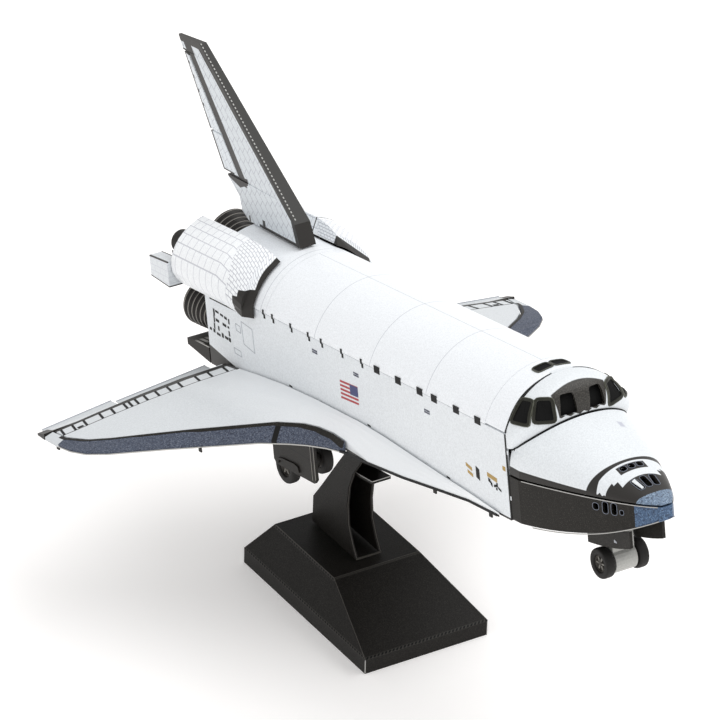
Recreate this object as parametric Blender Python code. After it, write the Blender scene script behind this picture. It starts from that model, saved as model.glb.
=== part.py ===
"""Folded sheet-metal display model of a winged space shuttle orbiter on its stand.

Run it with blender --background --python part.py, or from Blender's text editor.
The orbiter is drawn in its own frame, nose along +X, port wing along +Y, and an
empty then pitches it nose-up on the stand. Sizes are in millimetres times MM.
"""
import math

import bpy
import numpy as np

MM = 0.001

# Sheet and clearances
SHEET = 0.45 * MM
SEAM = 0.30 * MM
BEARING = 0.25 * MM

# Attitude on the stand
PITCH_DEG = 11.9
ATTITUDE_Z = 38.5 * MM

# Fuselage: straight sides, rolled top, flat belly
HALF_WIDTH = 9.5 * MM
BELLY_Z = -1.0 * MM
HINGE_Z = 11.6 * MM
CROWN_Z = 18.0 * MM
TAIL_X = -48.5 * MM
DOOR_AFT_X = -30.9 * MM
DOOR_FRONT_X = 26.6 * MM
CABIN_AFT_X = 31.8 * MM

# Nose: a rolled cone above the waist seam, a folded tray below it
WAIST_Z = 5.65 * MM
NOSE_TIP_X = 55.0 * MM
NOSE_TAPER_X = 34.0 * MM
NOSE_PLAN_POWER = 1.05
NOSE_PLAN_ROUNDING = 0.667
NOSE_BLUNTNESS = 0.48 * MM
NOSE_TOP_POWER = 0.9
NOSE_RIDGE_SLOPE = 0.437
LEAST_HALF_WIDTH = 0.1 * MM
JET_SPACING = 1.28 * MM
JET_LEAN = 0.45
CHIN_Z = 3.6 * MM
CHIN_FOLD = 0.3 * MM
CHIN_START_X = 32.0 * MM
CHIN_POWER = 2.5

# Cabin: windscreen base on the nose cone, and its roundness
SCREEN_BASE_X = 36.5 * MM
SCREEN_BASE_Z = 13.1 * MM
CABIN_FOOT_Z = 9.0 * MM
CABIN_SWEEP_DEG = 70.0
CABIN_POWER = 3.0
CABIN_SEAM_POWER = 2.2
CABIN_SEAM_ROUNDING = 0.8
PANE_CORNER_R = 0.4 * MM
OVERHEAD_X = 29.1 * MM
OVERHEAD_Y = 1.35 * MM
OVERHEAD_WIDTH = 2.2 * MM
OVERHEAD_LENGTH = 1.7 * MM

# Wing, drooping from the root to the tip
WING_EDGE_Z = -0.9 * MM
WING_DROOP = 0.07
WING_SKIN = 0.5 * MM
WING_CAMBER = 1.5
HINGE_X = -43.9 * MM
ELEVON_CHORD = 2.3 * MM
ELEVON_THICKNESS = 0.6 * MM
ELEVON_SPLIT_Y = 26.3 * MM
ELEVON_ROOT_GAP = 1.2 * MM
WING_TIP_Y = 39.5 * MM

# Fin and rudder
FIN_ROOT_Z = 18.3 * MM
FIN_TOE_Z = 21.5 * MM
FIN_TOP_Z = 42.7 * MM
FIN_LEAD_ROOT_X = -35.0 * MM
FIN_LEAD_TIP_X = -59.3 * MM
FIN_TRAIL_TIP_X = -66.0 * MM
FIN_HALF_ROOT = 1.3 * MM
FIN_HALF_TIP = 0.6 * MM
FIN_HALF_TRAIL = 0.25 * MM
FIN_TOE_SLOPE = 0.36
RUDDER_HALF_HINGE = 0.42 * MM
RUDDER_HALF_TRAIL = 0.15 * MM
RUDDER_BOTTOM_Z = 24.4 * MM
RUDDER_TOP_Z = 40.3 * MM
RUDDER_SPLIT_Z = 29.8 * MM
RUDDER_HINGE_BOTTOM_X = -51.7 * MM
RUDDER_HINGE_TOP_X = -63.3 * MM
RUDDER_TRAIL_BOTTOM_X = -56.4 * MM
RUDDER_TRAIL_TOP_X = -64.9 * MM

# Main engines and orbital engines
BELL_LENGTH = 8.0 * MM
BELL_EXIT_R = 3.6 * MM
BELL_THROAT_R = 1.6 * MM
BELL_WALL = 0.5 * MM
BELL_RIB = 0.18 * MM
BELL_RIBS = 9
BELL_POWER = 0.62
UPPER_BELL_Z = 12.6 * MM
UPPER_BELL_CANT_DEG = 16.0
LOWER_BELL_Y = 5.1 * MM
LOWER_BELL_Z = 4.1 * MM
LOWER_BELL_CANT_DEG = 10.0
ORBITAL_Y = 7.9 * MM
ORBITAL_Z = 15.2 * MM
ORBITAL_LENGTH = 3.0 * MM
ORBITAL_EXIT_R = 1.75 * MM
ORBITAL_THROAT_R = 0.9 * MM
ORBITAL_WALL = 0.4 * MM

# Engine pods on the shoulders
POD_FRONT_X = -33.8 * MM
POD_SHOULDER_X = -41.0 * MM
POD_AFT_X = -53.6 * MM
POD_RIDGE_DEG = 26.5
POD_RIDGE_RISE = 2.1 * MM
POD_SHOULDER_RISE = 2.8 * MM
POD_FRONT_RISE = 1.0 * MM
POD_FRONT_LEAN = 1.2 * MM
POD_FOOT_RISE = 0.35 * MM
POD_FOOT_Z = 9.9 * MM
JET_BOX_LENGTH = 5.6 * MM
JET_BOX_WIDTH = 2.2 * MM
JET_BOX_HEIGHT = 3.9 * MM
JET_BOX_INSET = 0.5 * MM
JET_BOX_FOOT_Z = 9.9 * MM
JET_BOX_TAPER = 0.5 * MM

# Body flap
FLAP_CHORD = 6.4 * MM
FLAP_FRONT_HEIGHT = 2.6 * MM
FLAP_BACK_HEIGHT = 1.0 * MM
FLAP_TOP_FALL = 0.4 * MM

# Landing gear
NOSE_AXLE_X = 42.6 * MM
NOSE_AXLE_Z = -5.55 * MM
NOSE_WHEEL_R = 2.15 * MM
MAIN_AXLE_X = -23.2 * MM
MAIN_AXLE_Z = -8.6 * MM
MAIN_WHEEL_R = 2.5 * MM
MAIN_GEAR_OUTSET = 0.2 * MM
GEAR_HALF_WIDTH = 3.4 * MM
NOSE_BARREL_R = 1.8 * MM
MAIN_BARREL_R = 1.5 * MM
TYRE_WIDTH = 1.45 * MM
TYRE_BEVEL = 0.25 * MM
AXLE_R = 0.55 * MM
NOSE_DOOR_FRONT_X = 49.8 * MM
NOSE_DOOR_LENGTH = 10.3 * MM
NOSE_DOOR_DEPTH = 2.4 * MM
NOSE_DOOR_Y = 2.8 * MM
MAIN_DOOR_LENGTH = 11.6 * MM
MAIN_DOOR_FRONT_X = -12.6 * MM
MAIN_DOOR_DEPTH = 6.1 * MM
MAIN_DOOR_OUTSET = 4.5 * MM
MAIN_DOOR_CORNER = 0.6 * MM

# Stand
BASE_LENGTH = 33.4 * MM
BASE_WIDTH = 20.4 * MM
BASE_CENTRE_X = -19.5 * MM
BASE_LIP = 2.4 * MM
BASE_HEIGHT = 7.4 * MM
PLATEAU_LENGTH = 16.3 * MM
PLATEAU_WIDTH = 14.2 * MM
PLATEAU_BACK = 3.4 * MM
BASE_SHEET = 0.5 * MM
BASE_HEM = 1.6 * MM
NECK_HALF_WIDTH = 2.2 * MM
NECK_WEB = 0.6 * MM
REST_BACK_X = -21.6 * MM
REST_FRONT_X = -15.9 * MM
REST_BACK_Z = 21.0 * MM
REST_RISE = 1.1 * MM
REST_GAP = 0.2 * MM

# Swan neck levels from the stand's base to the belly.
# columns: share of the height, x of the aft and of the front edge from the base's centre in mm
NECK_LEVELS = ((0.0, -11.1, 0.8), (0.07, -11.05, -0.4), (0.165, -11.0, -1.6), (0.28, -8.8, -1.95),
               (0.4, -6.6, -1.6), (0.505, -4.7, -0.5), (0.65, -2.0, 2.2), (1.0, 4.3, 8.9))

# Fin's heel under the rudder, from the root up.
# columns: height over the root, x from the hinge's foot and half thickness, in millimetres
FIN_HEEL = ((0.0, 2.3, 0.6), (1.1, 0.4, 0.55), (3.2, -0.2, 0.5), (5.4, -2.9, 0.45))

# Cabin panes.
# columns: name, x, y, z in mm, the pane's normal x, y, z, and bottom width, top width, height in mm
PANES = (("front", 36.4, 2.25, 14.95, 1.0, 0.12, 0.1, 2.6, 1.9, 2.9),
         ("quarter", 35.0, 5.2, 14.5, 0.75, 0.6, 0.3, 2.6, 2.0, 2.8),
         ("side", 33.1, 7.0, 14.2, 0.25, 0.85, 0.5, 2.5, 1.9, 3.1))

# Upper nose jets, three of a kind side by side.
# columns: kind, x, half length and half width, in millimetres
UPPER_JETS = (("jet_hole", 47.1, 0.45, 0.45), ("jet_slot", 50.4, 1.1, 0.42))

# Lower nose jets, four to a side.
# columns: x, z, width and height, in millimetres
LOWER_JETS = ((46.4, 4.45, 0.9, 0.9), (47.8, 4.5, 0.8, 1.6), (49.05, 4.5, 0.8, 1.6),
              (50.1, 4.2, 0.5, 0.6))

# Wing stations along X, from the strake's front to the hinge line.
# columns: x and root height in millimetres, the inner and the outer edge of the leading strip
# as shares of the reach from the fuselage's side to the tip, and the height of the inner edge
# over the outer one in millimetres
WING_STATIONS = ((29.0, -0.6, 0.012, 0.012, 0.5), (21.6, 0.1, 0.015, 0.015, 0.5),
                 (15.0, 0.6, 0.047, 0.047, 0.5), (8.0, 1.2, 0.083, 0.083, 0.5),
                 (0.0, 1.9, 0.107, 0.107, 0.5), (-6.0, 2.2, 0.093, 0.12, 1.5),
                 (-9.0, 2.2, 0.097, 0.147, 1.9), (-12.0, 2.2, 0.117, 0.19, 2.2),
                 (-14.5, 2.2, 0.147, 0.24, 2.3), (-18.0, 2.2, 0.223, 0.327, 2.3),
                 (-27.0, 1.9, 0.53, 0.673, 1.7), (-32.0, 1.5, 0.71, 0.88, 1.3),
                 (-34.5, 1.3, 0.803, 0.953, 1.1), (-37.2, 1.0, 0.883, 0.987, 0.9),
                 (-40.5, 0.7, 0.937, 1.0, 0.8), (-43.9, 0.4, 0.947, 1.0, 0.8))
STRAKE_STATIONS = 5

def rolled_top_radius():
    """Radius of the rolled top: an arc through both hinge lines and the crown."""
    rise = CROWN_Z - HINGE_Z
    return (HALF_WIDTH ** 2 + rise ** 2) / (2 * rise)


TOP_RADIUS = rolled_top_radius()
TOP_CENTRE_Z = CROWN_Z - TOP_RADIUS
TOP_HALF_ANGLE = math.asin(HALF_WIDTH / TOP_RADIUS)


def world_x(x, z):
    """Place along the room's X of an orbiter point, before the datum is shifted."""
    pitch = math.radians(PITCH_DEG)
    return x * math.cos(pitch) - z * math.sin(pitch)


DATUM_X = (world_x(NOSE_TIP_X, CHIN_Z) + world_x(FIN_TRAIL_TIP_X, FIN_TOP_Z)) / 2


def clear_scene():
    """Empties the scene."""
    for obj in list(bpy.data.objects):
        bpy.data.objects.remove(obj, do_unlink=True)


def paint(name, colour, roughness, metallic=0.0):
    """A Principled material of one colour."""
    material = bpy.data.materials.new(name)
    material.use_nodes = True
    shader = material.node_tree.nodes["Principled BSDF"]
    shader.inputs["Base Color"].default_value = (*colour, 1.0)
    shader.inputs["Roughness"].default_value = roughness
    shader.inputs["Metallic"].default_value = metallic
    material.diffuse_color = (*colour, 1.0)
    return material


def empty(name, parent=None):
    """A plain axes empty that carries other objects."""
    holder = bpy.data.objects.new(name, None)
    bpy.context.scene.collection.objects.link(holder)
    holder.parent = parent
    return holder


def solid(name, points, faces, material, parent, at=(0, 0, 0), smooth_deg=None):
    """One object from its points and faces, relative to its own origin."""
    mesh = bpy.data.meshes.new(name)
    mesh.from_pydata([tuple(p) for p in points], [], faces)
    mesh.validate()
    mesh.materials.append(material)
    obj = bpy.data.objects.new(name, mesh)
    bpy.context.scene.collection.objects.link(obj)
    obj.parent = parent
    obj.location = at
    if smooth_deg:
        mesh.shade_smooth()
        mesh.set_sharp_from_angle(angle=math.radians(smooth_deg))
    return obj


def ring_faces(rows, count):
    """Quads between rows of count points each, every row a closed ring, and two caps."""
    faces = []
    for i in range(rows - 1):
        for j in range(count):
            k = (j + 1) % count
            faces.append((i * count + j, i * count + k, (i + 1) * count + k, (i + 1) * count + j))
    faces.append(tuple(reversed(range(count))))
    faces.append(tuple((rows - 1) * count + j for j in range(count)))
    return faces


def facing_out(points, faces):
    """The faces, turned over if the volume they enclose comes out negative."""
    p = np.asarray(points, dtype=float)
    volume = 0.0
    for face in faces:
        a = p[face[0]]
        for j in range(1, len(face) - 1):
            volume += np.dot(a, np.cross(p[face[j]], p[face[j + 1]]))
    return faces if volume > 0 else [tuple(reversed(face)) for face in faces]


def loft(name, rings, material, parent, at=(0, 0, 0), smooth_deg=None):
    """A solid through closed rings of equal count, capped at both ends."""
    points = np.concatenate([np.asarray(r, dtype=float) for r in rings])
    faces = facing_out(points, ring_faces(len(rings), len(rings[0])))
    return solid(name, points, faces, material, parent, at, smooth_deg)


def extrude_x(name, outline, x0, x1, material, parent, smooth_deg=None):
    """A closed (y, z) outline carried straight along X."""
    rings = [[(x, y, z) for y, z in outline] for x in (x0, x1)]
    return loft(name, rings, material, parent, smooth_deg=smooth_deg)


def extrude_y(name, outline, y0, y1, material, parent, at=(0, 0, 0)):
    """A closed (x, z) outline carried straight along Y."""
    rings = [[(x, y, z) for x, z in outline] for y in (y0, y1)]
    return loft(name, rings, material, parent, at)


def sheet(name, grid, thickness, material, parent, smooth_deg=30):
    """A bent sheet: the grid is its outer face, and the inner face lies thickness behind.

    The normal at each grid point is the cross product of the two directions of the grid,
    turned to point away from the grid's middle.
    """
    outer = np.asarray(grid, dtype=float)
    du = np.gradient(outer, axis=0)
    dv = np.gradient(outer, axis=1)
    normal = np.cross(du, dv)
    normal /= np.linalg.norm(normal, axis=2, keepdims=True)
    middle = outer.reshape(-1, 3).mean(axis=0)
    if np.sum(normal * (outer - middle)) < 0:
        normal = -normal
    inner = outer - normal * thickness
    rows, cols = outer.shape[:2]
    points = np.concatenate([outer.reshape(-1, 3), inner.reshape(-1, 3)])
    shift = rows * cols
    faces = []
    for i in range(rows - 1):
        for j in range(cols - 1):
            a, b, c, d = i * cols + j, (i + 1) * cols + j, (i + 1) * cols + j + 1, i * cols + j + 1
            faces.append((a, b, c, d))
            faces.append((d + shift, c + shift, b + shift, a + shift))
    rim = [(i, 0) for i in range(rows)] + [(rows - 1, j) for j in range(1, cols)]
    rim += [(i, cols - 1) for i in range(rows - 2, -1, -1)] + [(0, j) for j in range(cols - 2, 0, -1)]
    index = [i * cols + j for i, j in rim]
    for a, b in zip(index, index[1:] + index[:1]):
        faces.append((b, a, a + shift, b + shift))
    return solid(name, points, facing_out(points, faces), material, parent, smooth_deg=smooth_deg)


def shell(name, outer, inner, material, parent, smooth_deg=30):
    """A nose shell from its outer and inner skins, open behind and along both side edges.

    Both are grids of rows across, and each last row is closed on itself, side to side, at the
    front.
    """
    rows, cols = outer.shape[:2]
    points = np.concatenate([outer.reshape(-1, 3), inner.reshape(-1, 3)])
    shift = rows * cols
    last = (rows - 1) * cols
    faces = []
    for i in range(rows - 1):
        for j in range(cols - 1):
            a, b, c, d = i * cols + j, (i + 1) * cols + j, (i + 1) * cols + j + 1, i * cols + j + 1
            faces.append((a, b, c, d))
            faces.append((d + shift, c + shift, b + shift, a + shift))
    for j in range(cols // 2):
        far = cols - 1 - j
        front = [last + j, last + far, last + far - 1, last + j + 1]
        if far - 1 == j + 1:
            front = front[:3]
        faces.append(tuple(front))
        faces.append(tuple(shift + k for k in reversed(front)))
    rim = [i * cols for i in range(rows)] + [i * cols + cols - 1 for i in range(rows - 1, -1, -1)]
    rim += list(range(cols - 2, 0, -1))
    for a, b in zip(rim, rim[1:] + rim[:1]):
        faces.append((b, a, a + shift, b + shift))
    return solid(name, points, facing_out(points, faces), material, parent, smooth_deg=smooth_deg)


def turned(name, profile, sides, material, parent, at=(0, 0, 0), axis=(1, 0, 0), up=(0, 0, 1)):
    """A profile of (along, radius) pairs turned about an axis, capped where it starts and ends."""
    axis = np.asarray(axis, dtype=float)
    side = np.cross(up, axis)
    side /= np.linalg.norm(side)
    top = np.cross(axis, side)
    turn = np.arange(sides) * 2 * math.pi / sides
    rings = [axis * along + radius * (np.outer(np.cos(turn), side) + np.outer(np.sin(turn), top))
             for along, radius in profile]
    return loft(name, rings, material, parent, at, smooth_deg=35)


def cut(obj, name, points, faces):
    """Takes a wire-displayed cutter solid away from an object."""
    cutter = solid(name, points, facing_out(points, faces), obj.data.materials[0], obj.parent)
    cutter.hide_render = True
    cutter.display_type = "WIRE"
    boolean = obj.modifiers.new(name, "BOOLEAN")
    boolean.operation = "DIFFERENCE"
    boolean.solver = "EXACT"
    boolean.object = cutter


def cut_prism(obj, name, centre, normal, up, outline, depth):
    """Cuts an outline of (across, up) pairs through an object along a normal."""
    normal = np.asarray(normal, dtype=float)
    normal /= np.linalg.norm(normal)
    across = np.cross(up, normal)
    across /= np.linalg.norm(across)
    upright = np.cross(normal, across)
    flat = np.array([across * a + upright * b for a, b in outline])
    points = np.concatenate([centre + flat - normal * depth, centre + flat + normal * depth])
    cut(obj, name, points, ring_faces(2, len(outline)))


def arc(radius, start, end, steps, centre_z=0.0):
    """Points (y, z) on an arc about the fuselage's top centre, angles from upright toward +Y."""
    angles = np.linspace(start, end, steps)
    return [(radius * math.sin(a), centre_z + radius * math.cos(a)) for a in angles]


def top_band(start, end, steps):
    """Closed outline of the rolled top between two angles, one sheet thick."""
    outer = arc(TOP_RADIUS, start, end, steps, TOP_CENTRE_Z)
    inner = arc(TOP_RADIUS - SHEET, end, start, steps, TOP_CENTRE_Z)
    return outer + inner


def build_fuselage(root, white, black):
    """Folded sides and belly, the rolled top in its separate sheets, and the tail plate."""
    y = HALF_WIDTH
    inner = HALF_WIDTH - SHEET
    trough = [(y, HINGE_Z - SEAM), (y, BELLY_Z), (-y, BELLY_Z), (-y, HINGE_Z - SEAM),
              (-inner, HINGE_Z - SEAM), (-inner, BELLY_Z + SHEET), (inner, BELLY_Z + SHEET),
              (inner, HINGE_Z - SEAM)]
    extrude_x("fuselage_sides_and_belly", trough, TAIL_X, CABIN_AFT_X - SEAM, white, root)
    whole = top_band(-TOP_HALF_ANGLE, TOP_HALF_ANGLE, 33)
    half_seam = SEAM / 2 / TOP_RADIUS
    for side, sign in (("port", 1), ("starboard", -1)):
        half = top_band(sign * half_seam, sign * TOP_HALF_ANGLE, 17)
        extrude_x("payload_bay_door_" + side, half, DOOR_AFT_X + SEAM / 2, DOOR_FRONT_X - SEAM / 2,
                  white, root, 20)
    extrude_x("aft_fuselage_top", whole, TAIL_X, DOOR_AFT_X - SEAM / 2, white, root, 20)
    build_forward_top(root, white, whole)
    tail = arc(TOP_RADIUS - SHEET - SEAM, -TOP_HALF_ANGLE, TOP_HALF_ANGLE, 17, TOP_CENTRE_Z)
    low = BELLY_Z + SHEET + SEAM
    edge = inner - SEAM
    tail = [(-edge, low)] + [(max(-edge, min(edge, a)), b) for a, b in tail] + [(edge, low)]
    extrude_x("tail_bulkhead", tail, TAIL_X, TAIL_X + SHEET, black, root)


def build_forward_top(root, white, whole):
    """Top sheet between the bay doors and the cabin, with two overhead windows."""
    top = extrude_x("forward_fuselage_top", whole, DOOR_FRONT_X + SEAM / 2, CABIN_AFT_X - SEAM,
                    white, root, 20)
    pane = rounded_outline(OVERHEAD_WIDTH, OVERHEAD_WIDTH, OVERHEAD_LENGTH, PANE_CORNER_R)
    for side, sign in (("port", 1), ("starboard", -1)):
        cut_prism(top, "overhead_opening_" + side, np.array((OVERHEAD_X, sign * OVERHEAD_Y, CROWN_Z)),
                  (0, 0, 1), (1, 0, 0), pane, 3 * SHEET)


def rounded_outline(bottom, top, height, radius, steps=3):
    """Trapezium with rounded corners: widths at the bottom and top, and the height between."""
    corners = [(-bottom / 2, -height / 2), (bottom / 2, -height / 2), (top / 2, height / 2),
               (-top / 2, height / 2)]
    points = []
    for i, corner in enumerate(corners):
        here = np.array(corner)
        before = np.array(corners[i - 1]) - here
        after = np.array(corners[(i + 1) % 4]) - here
        start = here + before / np.linalg.norm(before) * radius
        end = here + after / np.linalg.norm(after) * radius
        for t in np.linspace(0, 1, steps):
            points.append(tuple((1 - t) ** 2 * start + 2 * t * (1 - t) * here + t ** 2 * end))
    return points


def nose_half_width(x):
    """Plan shape of the nose: full width at the taper's start, rounded to the tip."""
    s = np.clip((x - NOSE_TAPER_X) / (NOSE_TIP_X + NOSE_BLUNTNESS - NOSE_TAPER_X), 0, 1)
    return HALF_WIDTH * (1 - s ** NOSE_PLAN_POWER) ** NOSE_PLAN_ROUNDING


def nose_rise(x):
    """Height of the nose cone's ridge over the waist: straight under the cabin, then curving."""
    rise = SCREEN_BASE_Z - WAIST_Z
    s = (x - SCREEN_BASE_X) / (NOSE_TIP_X + NOSE_BLUNTNESS - SCREEN_BASE_X)
    ahead = rise * (1 - np.clip(s, 0, 1) ** NOSE_TOP_POWER)
    behind = rise - NOSE_RIDGE_SLOPE * (x - SCREEN_BASE_X)
    return np.where(s > 0, ahead, behind)


def chin_z(x):
    """Height of the belly under the nose, rising to the chin at the tip."""
    s = np.clip((x - CHIN_START_X) / (NOSE_TIP_X - CHIN_START_X), 0, 1)
    return BELLY_Z + (CHIN_Z - BELLY_Z) * s ** CHIN_POWER


def cone_point(x, angle, inset=0.0):
    """Point of the nose cone at a station and an angle from its ridge: half an ellipse."""
    width = np.maximum(nose_half_width(x) - inset, LEAST_HALF_WIDTH)
    height = np.maximum(nose_rise(x) - inset, LEAST_HALF_WIDTH)
    return np.stack([x, width * np.sin(angle), WAIST_Z + SEAM / 2 + height * np.cos(angle)], axis=-1)


def screen_base_x(angle):
    """Station where cabin and nose cone meet, as it sweeps back down the sides."""
    sweep = np.clip(np.abs(angle) / math.radians(CABIN_SWEEP_DEG), 0, 1)
    share = (1 - sweep ** CABIN_SEAM_POWER) ** CABIN_SEAM_ROUNDING
    return CABIN_AFT_X + (SCREEN_BASE_X - CABIN_AFT_X) * share


def build_nose(root, white, black):
    """The rolled cone above the waist seam, with its jet openings, and the folded tray below."""
    angles = np.radians(np.linspace(-90, 90, 37))[None, :]
    forward = np.linspace(0, 1, 17)[:, None] ** 0.85
    start = screen_base_x(angles) + SEAM
    skins = []
    for inset in (0.0, SHEET):
        x = start + (NOSE_TIP_X - inset - start) * forward
        skins.append(cone_point(x, np.broadcast_to(angles, x.shape), inset))
    cone = shell("nose_upper_shell", *skins, white, root)
    for kind, x, half_length, half_width in UPPER_JETS:
        outline = rounded_outline(2 * half_width * MM, 2 * half_width * MM, 2 * half_length * MM,
                                  0.9 * half_width * MM)
        for place, share in (("port", 1), ("middle", 0), ("starboard", -1)):
            angle = math.asin(share * JET_SPACING / float(nose_half_width(x * MM)))
            centre = cone_point(np.array(x * MM), angle)
            cut_prism(cone, f"{kind}_{place}", centre, (JET_LEAN, 0.5 * share, 1), (1, 0, 0), outline,
                      4 * SHEET)
    build_nose_tray(root, black)


def build_nose_tray(root, black):
    """Lower nose: folded sides and a belly that rises to the chin, with four jets a side."""
    skins = []
    for inset in (0.0, SHEET):
        reach = NOSE_TIP_X - inset - CABIN_AFT_X
        rows = []
        for x in CABIN_AFT_X + reach * np.linspace(0, 1, 17) ** 0.85:
            y = max(float(nose_half_width(x)) - 1.2 * inset, LEAST_HALF_WIDTH)
            low = float(chin_z(x)) + inset
            rim = WAIST_Z - SEAM / 2
            half = [(0, low), (0.55 * y, low + CHIN_FOLD / 8), (0.92 * y, low + CHIN_FOLD / 3),
                    (y, low + CHIN_FOLD), (y, (low + rim) / 2), (y, rim)]
            rows.append([(x, -a, b) for a, b in reversed(half)] + [(x, a, b) for a, b in half[1:]])
        skins.append(np.array(rows))
    tray = shell("nose_lower_shell", *skins, black, root)
    for side, sign in (("port", 1), ("starboard", -1)):
        for number, (x, z, wide, tall) in enumerate(LOWER_JETS):
            centre = np.array((x * MM, sign * float(nose_half_width(x * MM)), z * MM))
            lean = float(nose_half_width((x - 1) * MM) - nose_half_width((x + 1) * MM)) / (2 * MM)
            slot = rounded_outline(wide * MM, wide * MM, tall * MM, 0.45 * min(wide, tall) * MM)
            cut_prism(tray, f"lower_jet_{side}_{number}", centre, (lean, sign, 0), (0, 0, 1), slot,
                      2 * SHEET)


def build_cabin(root, white):
    """Windscreen dome from the fuselage's top to the nose cone, with six window openings.

    Each path runs from the arch at the cabin's aft seam to the windscreen's base, along a
    quarter of a superellipse, so that the roof stays high and then turns down.
    """
    sweep = np.linspace(-0.97, 0.97, 33)
    path = np.radians(np.linspace(0, 90, 13))
    angle = np.radians(CABIN_SWEEP_DEG) * sweep
    arch = TOP_RADIUS * TOP_HALF_ANGLE
    run = np.abs(sweep) * (arch + HINGE_Z - CABIN_FOOT_Z)
    turn = np.minimum(run, arch) / TOP_RADIUS
    below = np.maximum(run - arch, 0)
    aft = np.stack([np.full_like(run, CABIN_AFT_X), np.sign(sweep) * TOP_RADIUS * np.sin(turn),
                    TOP_CENTRE_Z + TOP_RADIUS * np.cos(turn) - below], axis=-1)
    base = cone_point(screen_base_x(angle), angle)
    along = np.sin(path) ** (2 / CABIN_POWER)
    down = 1 - np.cos(path) ** (2 / CABIN_POWER)
    grid = aft[None] + (base - aft)[None] * down[:, None, None]
    grid[:, :, 0] = aft[:, 0] + (base - aft)[None, :, 0] * along[:, None]
    dome = sheet("crew_cabin", grid, SHEET, white, root)
    for name, x, y, z, nx, ny, nz, bottom, top, height in PANES:
        outline = rounded_outline(bottom * MM, top * MM, height * MM, PANE_CORNER_R)
        for side, sign in (("port", 1), ("starboard", -1)):
            cut_prism(dome, f"{name}_window_opening_{side}", np.array((x, sign * y, z)) * MM,
                      (nx, sign * ny, nz), (0, 0, 1), outline, 3.5 * SHEET)


def wing_edge_z(y):
    """Height of the drooping edge line at a distance from the centre plane."""
    return WING_EDGE_Z - WING_DROOP * (y - HALF_WIDTH)


def build_wing(root, white, blue, side, sign):
    """One wing: a cambered body, its slate blue leading strip and two elevons."""
    reach = WING_TIP_Y - HALF_WIDTH
    near = HALF_WIDTH + SEAM
    rings = []
    for x, height, inner, _, strip in WING_STATIONS:
        edge = HALF_WIDTH + reach * inner
        low = wing_edge_z(edge) - WING_SKIN / 2
        rim = low + strip * MM
        middle = (edge + near) / 2
        top = [(near + (edge - near) * t, height * MM + (rim - height * MM) * t ** WING_CAMBER)
               for t in np.linspace(0, 1, 5)]
        outline = top + [(edge, low), (middle, wing_edge_z(middle) - WING_SKIN / 2),
                         (near, WING_EDGE_Z - WING_SKIN / 2)]
        rings.append([(x * MM, sign * y, z) for y, z in outline])
    loft("wing_" + side, rings, white, root, smooth_deg=20)
    rings = []
    for x, _, inner, outer, strip in WING_STATIONS[STRAKE_STATIONS:]:
        near = HALF_WIDTH + reach * inner + SEAM
        far = HALF_WIDTH + reach * outer
        low = wing_edge_z(near) - WING_SKIN / 2
        outline = [(near, low + strip * MM), (far, wing_edge_z(far) + WING_SKIN / 2),
                   (far, wing_edge_z(far) - WING_SKIN / 2), (near, low)]
        rings.append([(x * MM, sign * y, z) for y, z in outline])
    loft("wing_leading_edge_" + side, rings, blue, root, smooth_deg=20)
    spans = (("inboard", HALF_WIDTH + ELEVON_ROOT_GAP, ELEVON_SPLIT_Y - SEAM / 2),
             ("outboard", ELEVON_SPLIT_Y + SEAM / 2, WING_TIP_Y))
    lead = HINGE_X - SEAM
    trail = HINGE_X - ELEVON_CHORD
    half = ELEVON_THICKNESS / 2
    for part, y0, y1 in spans:
        rings = []
        for y in (y0, y1):
            z = wing_edge_z(y)
            rings.append([(lead, sign * y, z + 2 * half), (trail, sign * y, z + half / 2),
                          (trail, sign * y, z - half / 2), (lead, sign * y, z - half)])
        loft(f"elevon_{part}_{side}", rings, white, root)


def fin_half(z):
    """Half thickness of the fin's leading facet at a height."""
    t = (z - FIN_TOE_Z) / (FIN_TOP_Z - FIN_TOE_Z)
    return FIN_HALF_ROOT + (FIN_HALF_TIP - FIN_HALF_ROOT) * max(t, 0)


def between(z, z0, x0, z1, x1):
    """Value on a straight line through two points."""
    return x0 + (x1 - x0) * (z - z0) / (z1 - z0)


def hinge_x(z):
    """Rudder hinge line."""
    return between(z, RUDDER_BOTTOM_Z, RUDDER_HINGE_BOTTOM_X, RUDDER_TOP_Z, RUDDER_HINGE_TOP_X)


def trail_x(z):
    """Rudder trailing edge."""
    return between(z, RUDDER_BOTTOM_Z, RUDDER_TRAIL_BOTTOM_X, RUDDER_TOP_Z, RUDDER_TRAIL_TOP_X)


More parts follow.
